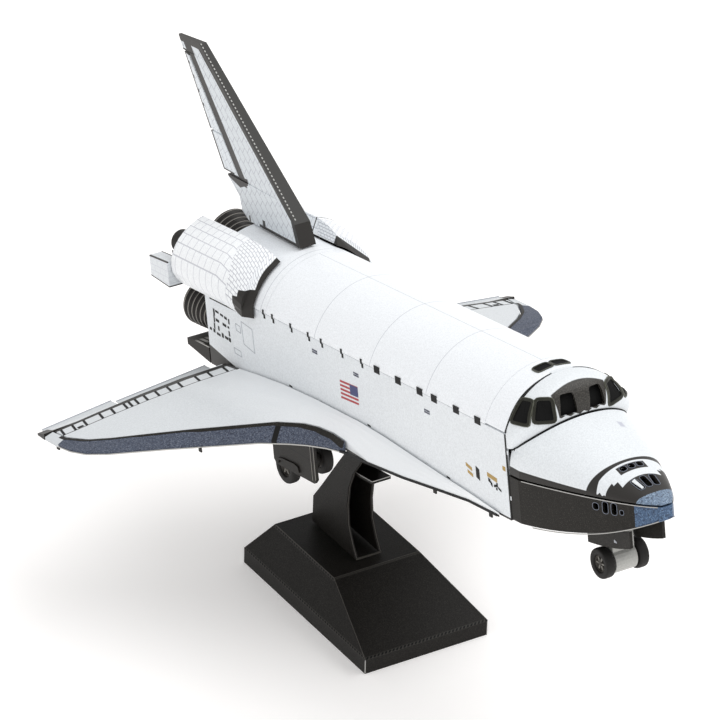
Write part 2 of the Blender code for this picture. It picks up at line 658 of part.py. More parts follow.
def build_fin(root, white):
    """The fin with a flat leading facet, and a rudder in two panels behind it."""
    foot = RUDDER_BOTTOM_Z - SEAM
    head = RUDDER_TOP_Z + SEAM
    heel = [(FIN_ROOT_Z + rise * MM, RUDDER_HINGE_BOTTOM_X + x * MM, half * MM)
            for rise, x, half in FIN_HEEL]
    last_x, last_half = heel[-1][1:]
    levels = heel + [(foot, last_x - SEAM, last_half),
                     (foot + SEAM / 10, hinge_x(RUDDER_BOTTOM_Z) + SEAM, RUDDER_HALF_HINGE),
                     (head - SEAM / 10, hinge_x(RUDDER_TOP_Z) + SEAM, RUDDER_HALF_HINGE),
                     (head, trail_x(RUDDER_TOP_Z) - SEAM / 3, FIN_HALF_TRAIL),
                     (FIN_TOP_Z, FIN_TRAIL_TIP_X, FIN_HALF_TRAIL)]
    rings = []
    for z, trail, thin in levels:
        lead = between(max(z, FIN_TOE_Z), FIN_TOE_Z, FIN_LEAD_ROOT_X, FIN_TOP_Z, FIN_LEAD_TIP_X)
        lead += max(FIN_TOE_Z - z, 0) * FIN_TOE_SLOPE
        half = fin_half(z)
        rings.append([(lead, half, z), (trail, thin, z), (trail, -thin, z), (lead, -half, z)])
    loft("fin", rings, white, root)
    panels = (("lower", RUDDER_BOTTOM_Z, RUDDER_SPLIT_Z - SEAM / 2),
              ("upper", RUDDER_SPLIT_Z + SEAM / 2, RUDDER_TOP_Z))
    for name, z0, z1 in panels:
        rings = []
        for z in (z0, z1):
            front = RUDDER_HALF_HINGE
            thin = RUDDER_HALF_TRAIL
            rings.append([(hinge_x(z), front, z), (trail_x(z), thin, z), (trail_x(z), -thin, z),
                          (hinge_x(z), -front, z)])
        loft("rudder_" + name, rings, white, root)


def bell_profile(length, throat, mouth, wall, ribs, rib):
    """Nozzle profile, (along, radius): outer side with ribs to the mouth, then back inside."""
    outer = []
    steps = ribs * 2
    for i in range(steps + 1):
        t = i / steps
        radius = throat + (mouth - throat) * t ** BELL_POWER
        outer.append((length * t, radius + (rib if i % 2 else 0)))
    inner = [(length * t, throat + (mouth - throat) * t ** BELL_POWER - wall)
             for t in (1, 0.75, 0.5, 0.25, 0.08)]
    return outer + inner


def build_engines(root, black):
    """Three ribbed main bells on the tail plate and two plain orbital nozzles on the pods."""
    profile = bell_profile(BELL_LENGTH, BELL_THROAT_R, BELL_EXIT_R, BELL_WALL, BELL_RIBS, BELL_RIB)
    # columns: name, y, z, cant
    bells = (("upper", 0.0, UPPER_BELL_Z, UPPER_BELL_CANT_DEG),
             ("lower_port", LOWER_BELL_Y, LOWER_BELL_Z, LOWER_BELL_CANT_DEG),
             ("lower_starboard", -LOWER_BELL_Y, LOWER_BELL_Z, LOWER_BELL_CANT_DEG))
    for name, y, z, cant in bells:
        turn = math.radians(cant)
        axis = (-math.cos(turn), 0, math.sin(turn))
        seat = TAIL_X - SEAM - BELL_THROAT_R * math.sin(turn)
        turned("main_engine_" + name, profile, 24, black, root, (seat, y, z), axis)
    profile = bell_profile(ORBITAL_LENGTH, ORBITAL_THROAT_R, ORBITAL_EXIT_R, ORBITAL_WALL, 3, 0)
    for side, sign in (("port", 1), ("starboard", -1)):
        turned("orbital_engine_" + side, profile, 20, black, root,
               (POD_AFT_X - SEAM, sign * ORBITAL_Y, ORBITAL_Z), (-1, 0, 0))


def hull_radius(angle):
    """Radius of the fuselage's outside about the rolled top's centre: arc, then flat side."""
    if angle <= TOP_HALF_ANGLE:
        return TOP_RADIUS
    return HALF_WIDTH / math.sin(angle)


def pod_section(x, share, sign):
    """Closed pod outline at a station, as points: it hugs the fuselage and stands proud of it.

    In polar form about the rolled top's centre, the pod's height over the fuselage goes from
    POD_FRONT_RISE all round at the front (share 0) to the aft outline (share 1), which rises
    from the ridge to the shoulder and falls in to the foot.
    """
    ridge = math.radians(POD_RIDGE_DEG)
    foot = math.atan2(HALF_WIDTH, POD_FOOT_Z - TOP_CENTRE_Z)
    outer = []
    inner = []
    for angle in np.linspace(ridge, foot, 13):
        run = (angle - ridge) / (foot - ridge)
        aft = POD_RIDGE_RISE + (POD_SHOULDER_RISE - POD_RIDGE_RISE) * math.sin(math.pi * run)
        aft *= (1 - run ** 5) ** 0.8
        rise = POD_FRONT_RISE * (1 - share) + aft * share
        outer.append((angle, hull_radius(angle) + SEAM + rise + POD_FOOT_RISE))
        inner.append((angle, hull_radius(angle) + SEAM))
    loop = outer + inner[::-1]
    return [(x, sign * r * math.sin(a), TOP_CENTRE_Z + r * math.cos(a)) for a, r in loop]


def build_pods(root, white):
    """Shoulder pods beside the fin, ruled from a slim front to a full end, with jet boxes."""
    for side, sign in (("port", 1), ("starboard", -1)):
        rings = []
        run = POD_SHOULDER_X - POD_FRONT_X
        for x, share in ((POD_FRONT_X, 0.0), (POD_FRONT_X + 0.5 * run, 0.62), (POD_SHOULDER_X, 1.0),
                         (POD_AFT_X, 1.0)):
            ring = pod_section(x, share, sign)
            outer_half = len(ring) // 2
            lean = POD_FRONT_LEAN * (1 - share) ** 2
            rings.append([(x - lean if i < outer_half else x, y, z) for i, (x, y, z) in enumerate(ring)])
        loft("engine_pod_" + side, rings, white, root, smooth_deg=30)
        y0 = sign * (HALF_WIDTH + JET_BOX_INSET)
        y1 = y0 + sign * JET_BOX_WIDTH
        rings = []
        for x, shrink in ((POD_AFT_X - SEAM, 0.0), (POD_AFT_X - JET_BOX_LENGTH, JET_BOX_TAPER)):
            low = JET_BOX_FOOT_Z + shrink
            high = JET_BOX_FOOT_Z + JET_BOX_HEIGHT - shrink / 2
            rings.append([(x, y0, low), (x, y1, low), (x, y1, high), (x, y0, high)])
        loft("jet_box_" + side, rings, white, root)


def build_body_flap(root, black):
    """Wedge under the engines, full width, thinning to the back."""
    front = TAIL_X - SEAM
    back = front - FLAP_CHORD
    high = BELLY_Z + FLAP_FRONT_HEIGHT
    outline = [(front, BELLY_Z), (front, high), (back, high - FLAP_TOP_FALL),
               (back, high - FLAP_TOP_FALL - FLAP_BACK_HEIGHT)]
    extrude_y("body_flap", outline, -HALF_WIDTH, HALF_WIDTH, black, root)


def wheel_pair(name, radius, parent, at, material):
    """Two tyres on one axle, turned about the axle line as one solid."""
    half = GEAR_HALF_WIDTH
    side = half - TYRE_WIDTH
    bevel = TYRE_BEVEL
    profile = [(-half, radius - 2 * bevel), (-half + bevel, radius), (-side - bevel, radius),
               (-side, radius - bevel), (-side, AXLE_R), (side, AXLE_R), (side, radius - bevel),
               (side + bevel, radius), (half - bevel, radius), (half, radius - 2 * bevel)]
    return turned(name, profile, 28, material, parent, at, axis=(0, 1, 0))


def gear_leg(name, x, y, axle_z, top_z, barrel_r, parent, material):
    """Barrel round the axle with a leg up to the belly: a keyhole outline carried along Y."""
    bore = AXLE_R + BEARING
    reach = GEAR_HALF_WIDTH - TYRE_WIDTH - BEARING
    steps = 20
    leg = 0.6 * barrel_r
    spread = math.asin(leg / barrel_r)
    outer = [(barrel_r * math.sin(a), barrel_r * math.cos(a))
             for a in np.linspace(spread, 2 * math.pi - spread, steps)]
    outer += [(-leg, top_z - axle_z), (leg, top_z - axle_z)]
    count = len(outer)
    hole = [(bore * math.sin(a), bore * math.cos(a))
            for a in np.linspace(spread, 2 * math.pi - spread, steps)]
    hole += [(bore * math.sin(-spread / 3), bore * math.cos(spread / 3)),
             (bore * math.sin(spread / 3), bore * math.cos(spread / 3))]
    points = [(a, side, b) for side in (-reach, reach) for ring in (outer, hole) for a, b in ring]
    faces = []
    for j in range(count):
        k = (j + 1) % count
        near_out, near_in, far_out, far_in = (0, count, 2 * count, 3 * count)
        faces.append((near_out + j, near_out + k, far_out + k, far_out + j))
        faces.append((near_in + k, near_in + j, far_in + j, far_in + k))
        faces.append((near_out + k, near_out + j, near_in + j, near_in + k))
        faces.append((far_out + j, far_out + k, far_in + k, far_in + j))
    return solid(name, points, facing_out(points, faces), material, parent, (x, y, axle_z),
                 smooth_deg=35)


def plate_y(name, outline, y, material, parent):
    """A flat plate standing fore and aft, one sheet thick, its outer face at y."""
    inward = y - math.copysign(SHEET, y)
    return extrude_y(name, outline, y, inward, material, parent)


def build_gear(root, black, grey):
    """Nose and main gear: legs fixed to the belly, doors hanging, wheel pairs free to turn."""
    nose_top = float(chin_z(NOSE_AXLE_X)) - SEAM
    gear_leg("nose_gear_leg", NOSE_AXLE_X, 0, NOSE_AXLE_Z, nose_top, NOSE_BARREL_R, root, grey)
    wheel_pair("nose_wheels", NOSE_WHEEL_R, root, (NOSE_AXLE_X, 0, NOSE_AXLE_Z), black)
    gear_y = HALF_WIDTH + MAIN_GEAR_OUTSET
    door_y = HALF_WIDTH + MAIN_DOOR_OUTSET
    leg_side = gear_y + GEAR_HALF_WIDTH - TYRE_WIDTH - BEARING
    main_top = wing_edge_z(leg_side) - WING_SKIN / 2 - SEAM
    front = MAIN_DOOR_FRONT_X
    back = front - MAIN_DOOR_LENGTH
    high = wing_edge_z(door_y) - WING_SKIN / 2 - SEAM
    low = high - MAIN_DOOR_DEPTH
    corner = MAIN_DOOR_CORNER
    main_door = [(front, high), (back, high), (back, low + corner), (back + corner, low),
                 (front - corner, low), (front, low + corner)]
    top = [(x, float(chin_z(x)) - 1.2 * SEAM)
           for x in np.linspace(NOSE_DOOR_FRONT_X - NOSE_DOOR_LENGTH, NOSE_DOOR_FRONT_X, 9)]
    nose_door = top + [(x, z - NOSE_DOOR_DEPTH) for x, z in reversed(top)]
    for side, sign in (("port", 1), ("starboard", -1)):
        at = (MAIN_AXLE_X, sign * gear_y, MAIN_AXLE_Z)
        gear_leg("main_gear_leg_" + side, *at, main_top, MAIN_BARREL_R, root, black)
        wheel_pair("main_wheels_" + side, MAIN_WHEEL_R, root, at, black)
        plate_y("main_gear_door_" + side, main_door, sign * door_y, black, root)
        plate_y("nose_gear_door_" + side, nose_door, sign * NOSE_DOOR_Y, black, root)


def build_stand(root, black):
    """Folded base with a sloping front, the swan neck, and the rest plate between its cheeks."""
    half_l, half_w = BASE_LENGTH / 2, BASE_WIDTH / 2
    back = BASE_CENTRE_X - half_l
    front = BASE_CENTRE_X + half_l
    plateau_aft = back + PLATEAU_BACK
    plateau_front = plateau_aft + PLATEAU_LENGTH
    top_w = PLATEAU_WIDTH / 2

    def ring(x0, x1, w, z):
        """Rectangle between two stations, a half width either side."""
        return [(x0, -w, z), (x1, -w, z), (x1, w, z), (x0, w, z)]

    t = BASE_SHEET
    hem = BASE_HEM
    rings = [ring(plateau_aft, plateau_front, top_w, BASE_HEIGHT), ring(back, front, half_w, BASE_LIP),
             ring(back, front, half_w, 0), ring(back + hem, front - hem, half_w - hem, 0),
             ring(back + hem, front - hem, half_w - hem, t), ring(back + t, front - t, half_w - t, t),
             ring(back + t, front - t, half_w - t, BASE_LIP - t / 3),
             ring(plateau_aft + t / 2, plateau_front - t / 2, top_w - t / 2, BASE_HEIGHT - t)]
    loft("stand_base", rings, black, root)
    build_neck(root, black)


def build_neck(root, black):
    """Swan neck: two cheeks joined by a back web, leaning forward to the belly."""
    foot = BASE_HEIGHT + SEAM
    pitch = math.radians(PITCH_DEG)

    def belly(x):
        """Height of the pitched belly over a place on the floor."""
        along = (x + (BELLY_Z * math.sin(pitch))) / math.cos(pitch)
        return ATTITUDE_Z + along * math.sin(pitch) + BELLY_Z * math.cos(pitch) - SEAM * 1.3

    w = NECK_HALF_WIDTH
    t = SHEET
    aft_end, front_end = (BASE_CENTRE_X + x * MM for x in NECK_LEVELS[-1][1:])
    rings = []
    for share, aft, front in NECK_LEVELS:
        xa = BASE_CENTRE_X + aft * MM
        xf = BASE_CENTRE_X + front * MM
        za = foot + (belly(aft_end) - foot) * share
        zf = foot + (belly(front_end) - foot) * share
        slope = (zf - za) / (xf - xa)
        web = xa + NECK_WEB
        outline = [(xa, -w), (xf, -w), (xf, -w + t), (web, -w + t), (web, w - t), (xf, w - t),
                   (xf, w), (xa, w)]
        rings.append([(x, y, za + slope * (x - xa)) for x, y in outline])
    loft("stand_neck", rings, black, root)
    high = REST_BACK_Z + REST_RISE
    plate = [(REST_BACK_X, REST_BACK_Z), (REST_FRONT_X, high), (REST_FRONT_X, high - t),
             (REST_BACK_X, REST_BACK_Z - t)]
    reach = w - t - REST_GAP
    extrude_y("stand_rest_plate", plate, -reach, reach, black, root)


def build():
    """Builds the whole model."""
    clear_scene()
    white = paint("white_printed_sheet", (0.82, 0.84, 0.86), 0.45, 0.2)
    black = paint("black_printed_sheet", (0.045, 0.04, 0.036), 0.5, 0.2)
    blue = paint("slate_printed_sheet", (0.10, 0.12, 0.19), 0.5, 0.2)
    grey = paint("bare_sheet", (0.42, 0.43, 0.45), 0.4, 0.8)
    datum = empty("datum")
    datum.location = (-DATUM_X, 0, 0)
    attitude = empty("attitude", datum)
    attitude.location = (0, 0, ATTITUDE_Z)
    attitude.rotation_euler = (0, -math.radians(PITCH_DEG), 0)
    build_fuselage(attitude, white, black)
    build_cabin(attitude, white)
    build_nose(attitude, white, black)
    for side, sign in (("port", 1), ("starboard", -1)):
        build_wing(attitude, white, blue, side, sign)
    build_fin(attitude, white)
    build_engines(attitude, black)
    build_pods(attitude, white)
    build_body_flap(attitude, black)
    build_gear(attitude, black, grey)
    build_stand(datum, black)
    bpy.context.view_layer.update()


build()
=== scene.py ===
"""Looks of the folded sheet-metal space shuttle model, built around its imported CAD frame.

Sizes are in millimetres. Pieces of the orbiter are worked out in the orbiter's own frame,
nose along +X and port wing along +Y, and `place` pitches them onto the stand, in metres.
"""
import math

import bpy
import numpy as np
from bpy.props import FloatProperty, FloatVectorProperty, PointerProperty
from mathutils import Matrix


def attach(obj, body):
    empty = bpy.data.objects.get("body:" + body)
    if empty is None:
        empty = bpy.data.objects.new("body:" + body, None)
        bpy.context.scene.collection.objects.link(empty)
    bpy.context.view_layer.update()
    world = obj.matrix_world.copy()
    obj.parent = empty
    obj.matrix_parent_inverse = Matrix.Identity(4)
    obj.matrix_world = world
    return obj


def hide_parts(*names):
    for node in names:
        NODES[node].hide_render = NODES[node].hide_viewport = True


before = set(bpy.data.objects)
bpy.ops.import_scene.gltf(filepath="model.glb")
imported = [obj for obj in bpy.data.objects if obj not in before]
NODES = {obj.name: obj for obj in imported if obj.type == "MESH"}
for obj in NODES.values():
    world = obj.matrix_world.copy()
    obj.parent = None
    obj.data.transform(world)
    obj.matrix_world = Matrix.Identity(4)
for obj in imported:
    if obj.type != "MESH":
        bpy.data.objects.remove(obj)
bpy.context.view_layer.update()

bl_info = {
    "name": "Folded shuttle model looks",
    "version": (1, 0, 0),
    "blender": (4, 5, 0),
    "location": "3D View > Sidebar > Shuttle",
    "description": "Prints, edges and small parts of a folded sheet-metal shuttle model",
    "category": "Object",
}

MM = 0.001

# Attitude on the stand
PITCH = math.radians(11.9)
ATTITUDE_Z = 38.5
DATUM_X = -10.155426

# Fuselage and its sheets
SHEET = 0.45
SEAM = 0.30
FINE_SEAM = 0.07
HALF_WIDTH = 9.5
BELLY_Z = -1.0
HINGE_Z = 11.6
CROWN_Z = 18.0
TOP_RADIUS = (HALF_WIDTH ** 2 + (CROWN_Z - HINGE_Z) ** 2) / (2 * (CROWN_Z - HINGE_Z))
TOP_CENTRE_Z = CROWN_Z - TOP_RADIUS
TOP_HALF_ANGLE = math.asin(HALF_WIDTH / TOP_RADIUS)
TAIL_X = -48.5
DOOR_AFT_X = -30.9
DOOR_FRONT_X = 26.6
CABIN_AFT_X = 31.8

# Nose
WAIST_Z = 5.65
NOSE_TIP_X = 55.0
NOSE_TAPER_X = 34.0
NOSE_BLUNTNESS = 0.48
SCREEN_BASE_X = 36.5
SCREEN_BASE_Z = 13.1
CABIN_SWEEP = math.radians(70.0)
CHIN_Z = 3.6
CHIN_START_X = 32.0
CHIN_FOLD = 0.3
JET_SPACING = 1.28

# Wing
WING_EDGE_Z = -0.9
WING_DROOP = 0.07
WING_TIP_Y = 39.5

# Fin
HINGE_FOOT = (-51.7, 24.4)
HINGE_HEAD = (-63.3, 40.3)
FIN_TOE_Z = 21.5

# Wing stations along X, from the strake's front to the hinge line.
# columns: x, and the inner and outer edge of the leading strip as shares of the wing's reach
WING_STATIONS = np.array((
    (29.0, 0.012, 0.012), (21.6, 0.015, 0.015), (15.0, 0.047, 0.047), (8.0, 0.083, 0.083),
    (0.0, 0.107, 0.107), (-6.0, 0.093, 0.12), (-9.0, 0.097, 0.147), (-12.0, 0.117, 0.19),
    (-14.5, 0.147, 0.24), (-18.0, 0.223, 0.327), (-27.0, 0.53, 0.673), (-32.0, 0.71, 0.88),
    (-34.5, 0.803, 0.953), (-37.2, 0.883, 0.987), (-40.5, 0.937, 1.0), (-43.9, 0.947, 1.0)))

# Port windows: quarter, side and overhead.
# columns: centre, normal, up, bottom width, top width, height, and the frame's width
WINDOWS = (((35.0, 5.2, 14.5), (0.75, 0.6, 0.3), (0, 0, 1), 2.6, 2.0, 2.8, 0.36),
           ((33.1, 7.0, 14.2), (0.25, 0.85, 0.5), (0, 0, 1), 2.5, 1.9, 3.1, 0.36),
           ((29.1, 1.35, CROWN_Z), (0, 0, 1), (1, 0, 0), 2.2, 2.2, 1.7, 0.18))

# Upper nose jets, three side by side in each row: x, half length and half width
UPPER_JETS = ((47.1, 0.45, 0.45), (50.4, 1.1, 0.42))

# Lower nose jets, four to a side: x, z, width and height
LOWER_JETS = ((46.4, 4.45, 0.9, 0.9), (47.8, 4.5, 0.8, 1.6), (49.05, 4.5, 0.8, 1.6),
              (50.1, 4.2, 0.5, 0.6))

SIDES = (("port", 1), ("starboard", -1))

# How far off the model, and how high over the wings, a drawing is held before it is dropped, the
# height of print and of thin print, how far plates and frames sink into the sheet, and how deep
# a window frame's points may fall
HOVER = 3.0
OVERHEAD = 20
PRINT_LIFT = 0.045
THIN_LIFT = 0.03
PLATE_SINK = 0.02
FRAME_SINK = 0.05
WINDOW_RELIEF = 0.5

# Depth of the grain's bump in metres, and colours of print that come up often
BUMP_DEPTH = 0.00005
DARK = (0.014, 0.012, 0.010)
LINE_GREY = (0.42, 0.44, 0.48)
TILE_GREY = (0.60, 0.62, 0.67)
FINE_TILE_GREY = (0.42, 0.43, 0.48)

# Plain finishes of the added pieces, the tail bulkhead and the gear legs.
# columns: material slot, ground colour, strength of the bump, and other settings of the ink
PLAIN = {
    "bare_cut_edge": ("bare_sheet", "steel", 0.05, {"roughness": 0.32, "metallic": 0.6, "grain": 0.6}),
    "bell_dark": ("black_sheet", (0.022, 0.020, 0.018), 0.1, {"roughness": 0.38, "grain": 1.0}),
    "blue_dash": ("black_sheet", (0.045, 0.05, 0.085), 0.06, {}),
    "charcoal_print": ("black_sheet", "charcoal", 0.10, {}),
    # painted shade: near-black sheets and plugs set where only the shaded inside of the model shows, behind
    # seams, windows and jet openings
    "dark_hollow": ("black_sheet", (0.004, 0.004, 0.004), 0, {"roughness": 0.9}),
    "dark_print": ("black_sheet", (0.006, 0.006, 0.006), 0.06, {"roughness": 0.55}),
    "frame_olive": ("black_sheet", (0.020, 0.020, 0.014), 0.1, {"grain": 1.0}),
    "gold_print": ("black_sheet", (0.42, 0.27, 0.07), 0.06, {"grain": 1.0}),
    "grey_line": ("bare_sheet", LINE_GREY, 0.06, {"roughness": 0.5}),
    "hub_grey": ("bare_sheet", (0.055, 0.050, 0.044), 0.05, {"roughness": 0.4, "metallic": 0.3}),
    "leg_satin": ("bare_sheet", (0.40, 0.40, 0.38), 0.05,
                  {"roughness": 0.45, "metallic": 0.25, "grain": 0.6}),
    "lip_print": ("white_sheet", (0.60, 0.625, 0.645), 0.06, {}),
    "patch_blue": ("black_sheet", (0.05, 0.055, 0.16), 0.06, {}),
    "patch_red": ("black_sheet", (0.42, 0.045, 0.05), 0.06, {}),
    # painted highlight: the lighter rim along the window frames' edges
    "rim_olive": ("bare_sheet", (0.085, 0.087, 0.068), 0.06, {}),
    "rim_pale": ("bare_sheet", (0.17, 0.19, 0.24), 0.06, {"roughness": 0.35}),
    "ring_steel": ("bare_sheet", (0.36, 0.34, 0.31), 0, {"roughness": 0.3, "metallic": 0.7}),
    "spoke_grey": ("bare_sheet", (0.20, 0.19, 0.17), 0, {}),
    "tyre_black": ("black_sheet", (0.016, 0.015, 0.014), 0.12, {"roughness": 0.6, "grain": 1.0}),
    "white_print": ("white_sheet", "white", 0.06, {}),
    # painted highlight along the stand's folds and edges
    "worn_edge": ("stand_sheet", (0.060, 0.056, 0.050), 0, {"roughness": 0.4, "grain": 1.0}),
}


def xyz(x, y, z):
    """Points from their coordinates: arrays, or numbers that hold for all of them."""
    return np.stack(np.broadcast_arrays(x, y, z), axis=-1).astype(float)


def unit(vectors):
    """The vectors at a length of 1."""
    v = np.asarray(vectors, dtype=float)
    return v / np.linalg.norm(v, axis=-1, keepdims=True)


def place(points):
    """Orbiter points in millimetres, pitched onto the stand and moved to the datum, in metres."""
    p = np.asarray(points, dtype=float)
    x = p[..., 0] * math.cos(PITCH) - p[..., 2] * math.sin(PITCH) - DATUM_X
    z = p[..., 0] * math.sin(PITCH) + p[..., 2] * math.cos(PITCH) + ATTITUDE_Z
    return xyz(x, p[..., 1], z) * MM


def floor_place(points):
    """Points in millimetres over the floor, moved to the datum, in metres."""
    return (np.asarray(points, dtype=float) - (DATUM_X, 0, 0)) * MM


def unplace(points):
    """Row frame points in metres back to orbiter millimetres: the reverse of `place`."""
    p = np.asarray(points, dtype=float) / MM
    x = p[..., 0] + DATUM_X
    z = p[..., 2] - ATTITUDE_Z
    return xyz(x * math.cos(PITCH) + z * math.sin(PITCH), p[..., 1],
               -x * math.sin(PITCH) + z * math.cos(PITCH))


# The model's own curves

def nose_half_width(x):
    """Plan shape of the nose: full width at the taper's start, rounded to the tip."""
    s = np.clip((x - NOSE_TAPER_X) / (NOSE_TIP_X + NOSE_BLUNTNESS - NOSE_TAPER_X), 0, 1)
    return HALF_WIDTH * (1 - s ** 1.05) ** 0.667


def nose_rise(x):
    """Height of the nose cone's ridge over the waist: straight under the cabin, then curving."""
    rise = SCREEN_BASE_Z - WAIST_Z
    s = (x - SCREEN_BASE_X) / (NOSE_TIP_X + NOSE_BLUNTNESS - SCREEN_BASE_X)
    return np.where(s > 0, rise * (1 - np.clip(s, 0, 1) ** 0.9), rise - 0.437 * (x - SCREEN_BASE_X))


def chin_z(x):
    """Height of the belly under the nose, rising to the chin at the tip."""
    s = np.clip((x - CHIN_START_X) / (NOSE_TIP_X - CHIN_START_X), 0, 1)
    return BELLY_Z + (CHIN_Z - BELLY_Z) * s ** 2.5


def cone_point(x, angle, inset=0.0):
    """Point of the nose cone at a station and an angle from its ridge: half an ellipse."""
    width = np.maximum(nose_half_width(x) - inset, 0.1)
    height = np.maximum(nose_rise(x) - inset, 0.1)
    return xyz(x, width * np.sin(angle), WAIST_Z + SEAM / 2 + height * np.cos(angle))


def screen_base_x(angle):
    """Station where cabin and nose cone meet, as it sweeps back down the sides."""
    sweep = np.clip(np.abs(angle) / CABIN_SWEEP, 0, 1)
    return CABIN_AFT_X + (SCREEN_BASE_X - CABIN_AFT_X) * (1 - sweep ** 2.2) ** 0.8


def cabin_grid(rows, cols, inset=0.0):
    """The cabin dome: paths from the arch at its aft seam to the windscreen's base.

    Each path is a quarter of a superellipse of power 3. The inset moves the whole dome down and
    aft and draws it in by the same share everywhere.
    """
    sweep = np.linspace(-0.97, 0.97, cols)
    path = np.radians(np.linspace(0, 90, rows))
    angle = CABIN_SWEEP * sweep
    arch = TOP_RADIUS * TOP_HALF_ANGLE
    run = np.abs(sweep) * (arch + HINGE_Z - 9.0)
    turn = np.minimum(run, arch) / TOP_RADIUS
    below = np.maximum(run - arch, 0)
    radius = TOP_RADIUS - inset
    aft = xyz(CABIN_AFT_X, np.sign(sweep) * radius * np.sin(turn),
              TOP_CENTRE_Z + radius * np.cos(turn) - below)
    base = cone_point(screen_base_x(angle), angle, inset)
    along = np.sin(path) ** (2 / 3)
    down = 1 - np.cos(path) ** (2 / 3)
    grid = aft[None] + (base - aft)[None] * down[:, None, None]
    grid[:, :, 0] = aft[:, 0] + (base - aft)[None, :, 0] * along[:, None] - inset * along[:, None]
    return grid


def rolled(angle, x, inset=0.0):
    """Points of the rolled top: an arc through both hinge lines and the crown, at a station."""
    radius = TOP_RADIUS - inset
    return xyz(x, radius * np.sin(angle), TOP_CENTRE_Z + radius * np.cos(angle))


def wing_edge_z(y):
    """Height of the drooping edge line at a distance from the centre plane."""
    return WING_EDGE_Z - WING_DROOP * (np.abs(y) - HALF_WIDTH)


def wing_edge(x, column):
    """Half span of the leading strip's inner (1) or outer (2) edge at a station."""
    share = np.interp(-np.asarray(x, dtype=float), -WING_STATIONS[:, 0], WING_STATIONS[:, column])
    return HALF_WIDTH + (WING_TIP_Y - HALF_WIDTH) * share


def trapezium(bottom, top, height, radius, steps=4):
    """Outline of (across, up) pairs with rounded corners: each corner is a quadratic curve."""
    corner = np.array([(-bottom / 2, -height / 2), (bottom / 2, -height / 2), (top / 2, height / 2),
                       (-top / 2, height / 2)])
    before = np.roll(corner, 1, axis=0) - corner
    after = np.roll(corner, -1, axis=0) - corner
    start = corner + unit(before) * radius
    end = corner + unit(after) * radius
    t = np.linspace(0, 1, steps)[None, :, None]
    curve = (1 - t) ** 2 * start[:, None] + 2 * t * (1 - t) * corner[:, None] + t ** 2 * end[:, None]
    return curve.reshape(-1, 2)


def in_plane(centre, normal, up, outline):
    """An outline of (across, up) pairs set in the plane of a normal at a centre."""
    normal = unit(normal)
    across = unit(np.cross(up, normal))
    return np.asarray(centre) + outline[:, :1] * across + outline[:, 1:] * np.cross(normal, across)


# Meshes

def piece(name, shape, material, body="root", smooth_deg=None, stands_for=(), to_world=place):
    """A finished piece from a shape: points in millimetres, and quads of corner numbers.

    The material is one made for the piece, or a plain finish's name.
    """
    points, faces = shape
    mesh = bpy.data.meshes.new(name)
    mesh.from_pydata(to_world(points).reshape(-1, 3).tolist(), [], faces.tolist())
    mesh.validate()
    mesh.update()
    if smooth_deg:
        mesh.shade_smooth()
        mesh.set_sharp_from_angle(angle=math.radians(smooth_deg))
    mesh.materials.append(plain(material) if isinstance(material, str) else material)
    obj = bpy.data.objects.new(name, mesh)
    bpy.context.scene.collection.objects.link(obj)
    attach(obj, body)
    if stands_for:
        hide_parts(*stands_for)


def grid_faces(rows, cols, wrap=False, close=False):
    """Quads of a grid of points, row by row; wrap joins the columns' ends and close the rows'."""
    i, j = np.meshgrid(np.arange(rows if close else rows - 1), np.arange(cols if wrap else cols - 1),
                       indexing="ij")
    k = (j + 1) % cols
    n = (i + 1) % rows
    return np.stack([i * cols + j, i * cols + k, n * cols + k, n * cols + j], axis=-1).reshape(-1, 4)


def outward(points, faces):
    """The faces turned over if the volume they enclose, summed over fans, is negative."""
    p = np.asarray(points, dtype=float).reshape(-1, 3)
    a, b, c, d = (p[faces[:, k]] - p.mean(axis=0) for k in range(4))
    volume = np.einsum("ij,ij->", a, np.cross(b, c)) + np.einsum("ij,ij->", a, np.cross(c, d))
    return faces if volume > 0 else faces[:, ::-1]


def tube(rings, close=False):
    """Points and quads through rings of points, (rows, cols, 3), each ring closed on itself.

    The ends are capped by quads laid across, or the last row joins the first if close is set.
    """
    rows, cols = rings.shape[:2]
    faces = grid_faces(rows, cols, wrap=True, close=close)
    if not close:
        j = np.arange(cols // 2 - 1)
        cap = np.stack([j, j + 1, cols - 2 - j, cols - 1 - j], axis=-1)
        faces = np.concatenate([faces, cap[:, ::-1], cap + (rows - 1) * cols])
    points = rings.reshape(-1, 3)
    return points, outward(points, faces)


def joined(parts):
    """Several (points, faces) pairs as one."""
    start = np.cumsum([0] + [len(points) for points, _ in parts[:-1]])
    return (np.concatenate([points for points, _ in parts]),
            np.concatenate([faces + s for (_, faces), s in zip(parts, start)]))


def slabs(upper, lower):
    """Closed thin plates between two stacks of grids, each (count, rows, cols, 3).

    Each plate is its upper grid, its lower grid turned over, and a strip of quads round the rim.
    """
    count, rows, cols = upper.shape[:3]
    size = rows * cols
    points = np.stack([upper.reshape(count, size, 3), lower.reshape(count, size, 3)], axis=1)
    top = grid_faces(rows, cols)
    index = np.arange(size).reshape(rows, cols)
    rim = np.concatenate([index[0, :-1], index[:-1, -1], index[-1, :0:-1], index[:0:-1, 0]])
    after = np.roll(rim, -1)
    side = np.stack([after, rim, rim + size, after + size], axis=-1)
    one = np.concatenate([top, top[:, ::-1] + size, side])
    plates = [outward(points[k], one) + k * 2 * size for k in range(count)]
    return points.reshape(-1, 3), np.concatenate(plates)


def triangles(names):
    """Corner points of all triangles of some CAD nodes, in millimetres."""
    corners = []
    for name in names:
        mesh = NODES[name].data
        mesh.calc_loop_triangles()
        co = np.empty(len(mesh.vertices) * 3)
        mesh.vertices.foreach_get("co", co)
        tri = np.empty(len(mesh.loop_triangles) * 3, dtype=np.int32)
        mesh.loop_triangles.foreach_get("vertices", tri)
        corners.append(unplace(co.reshape(-1, 3))[tri.reshape(-1, 3)])
    return np.concatenate(corners)


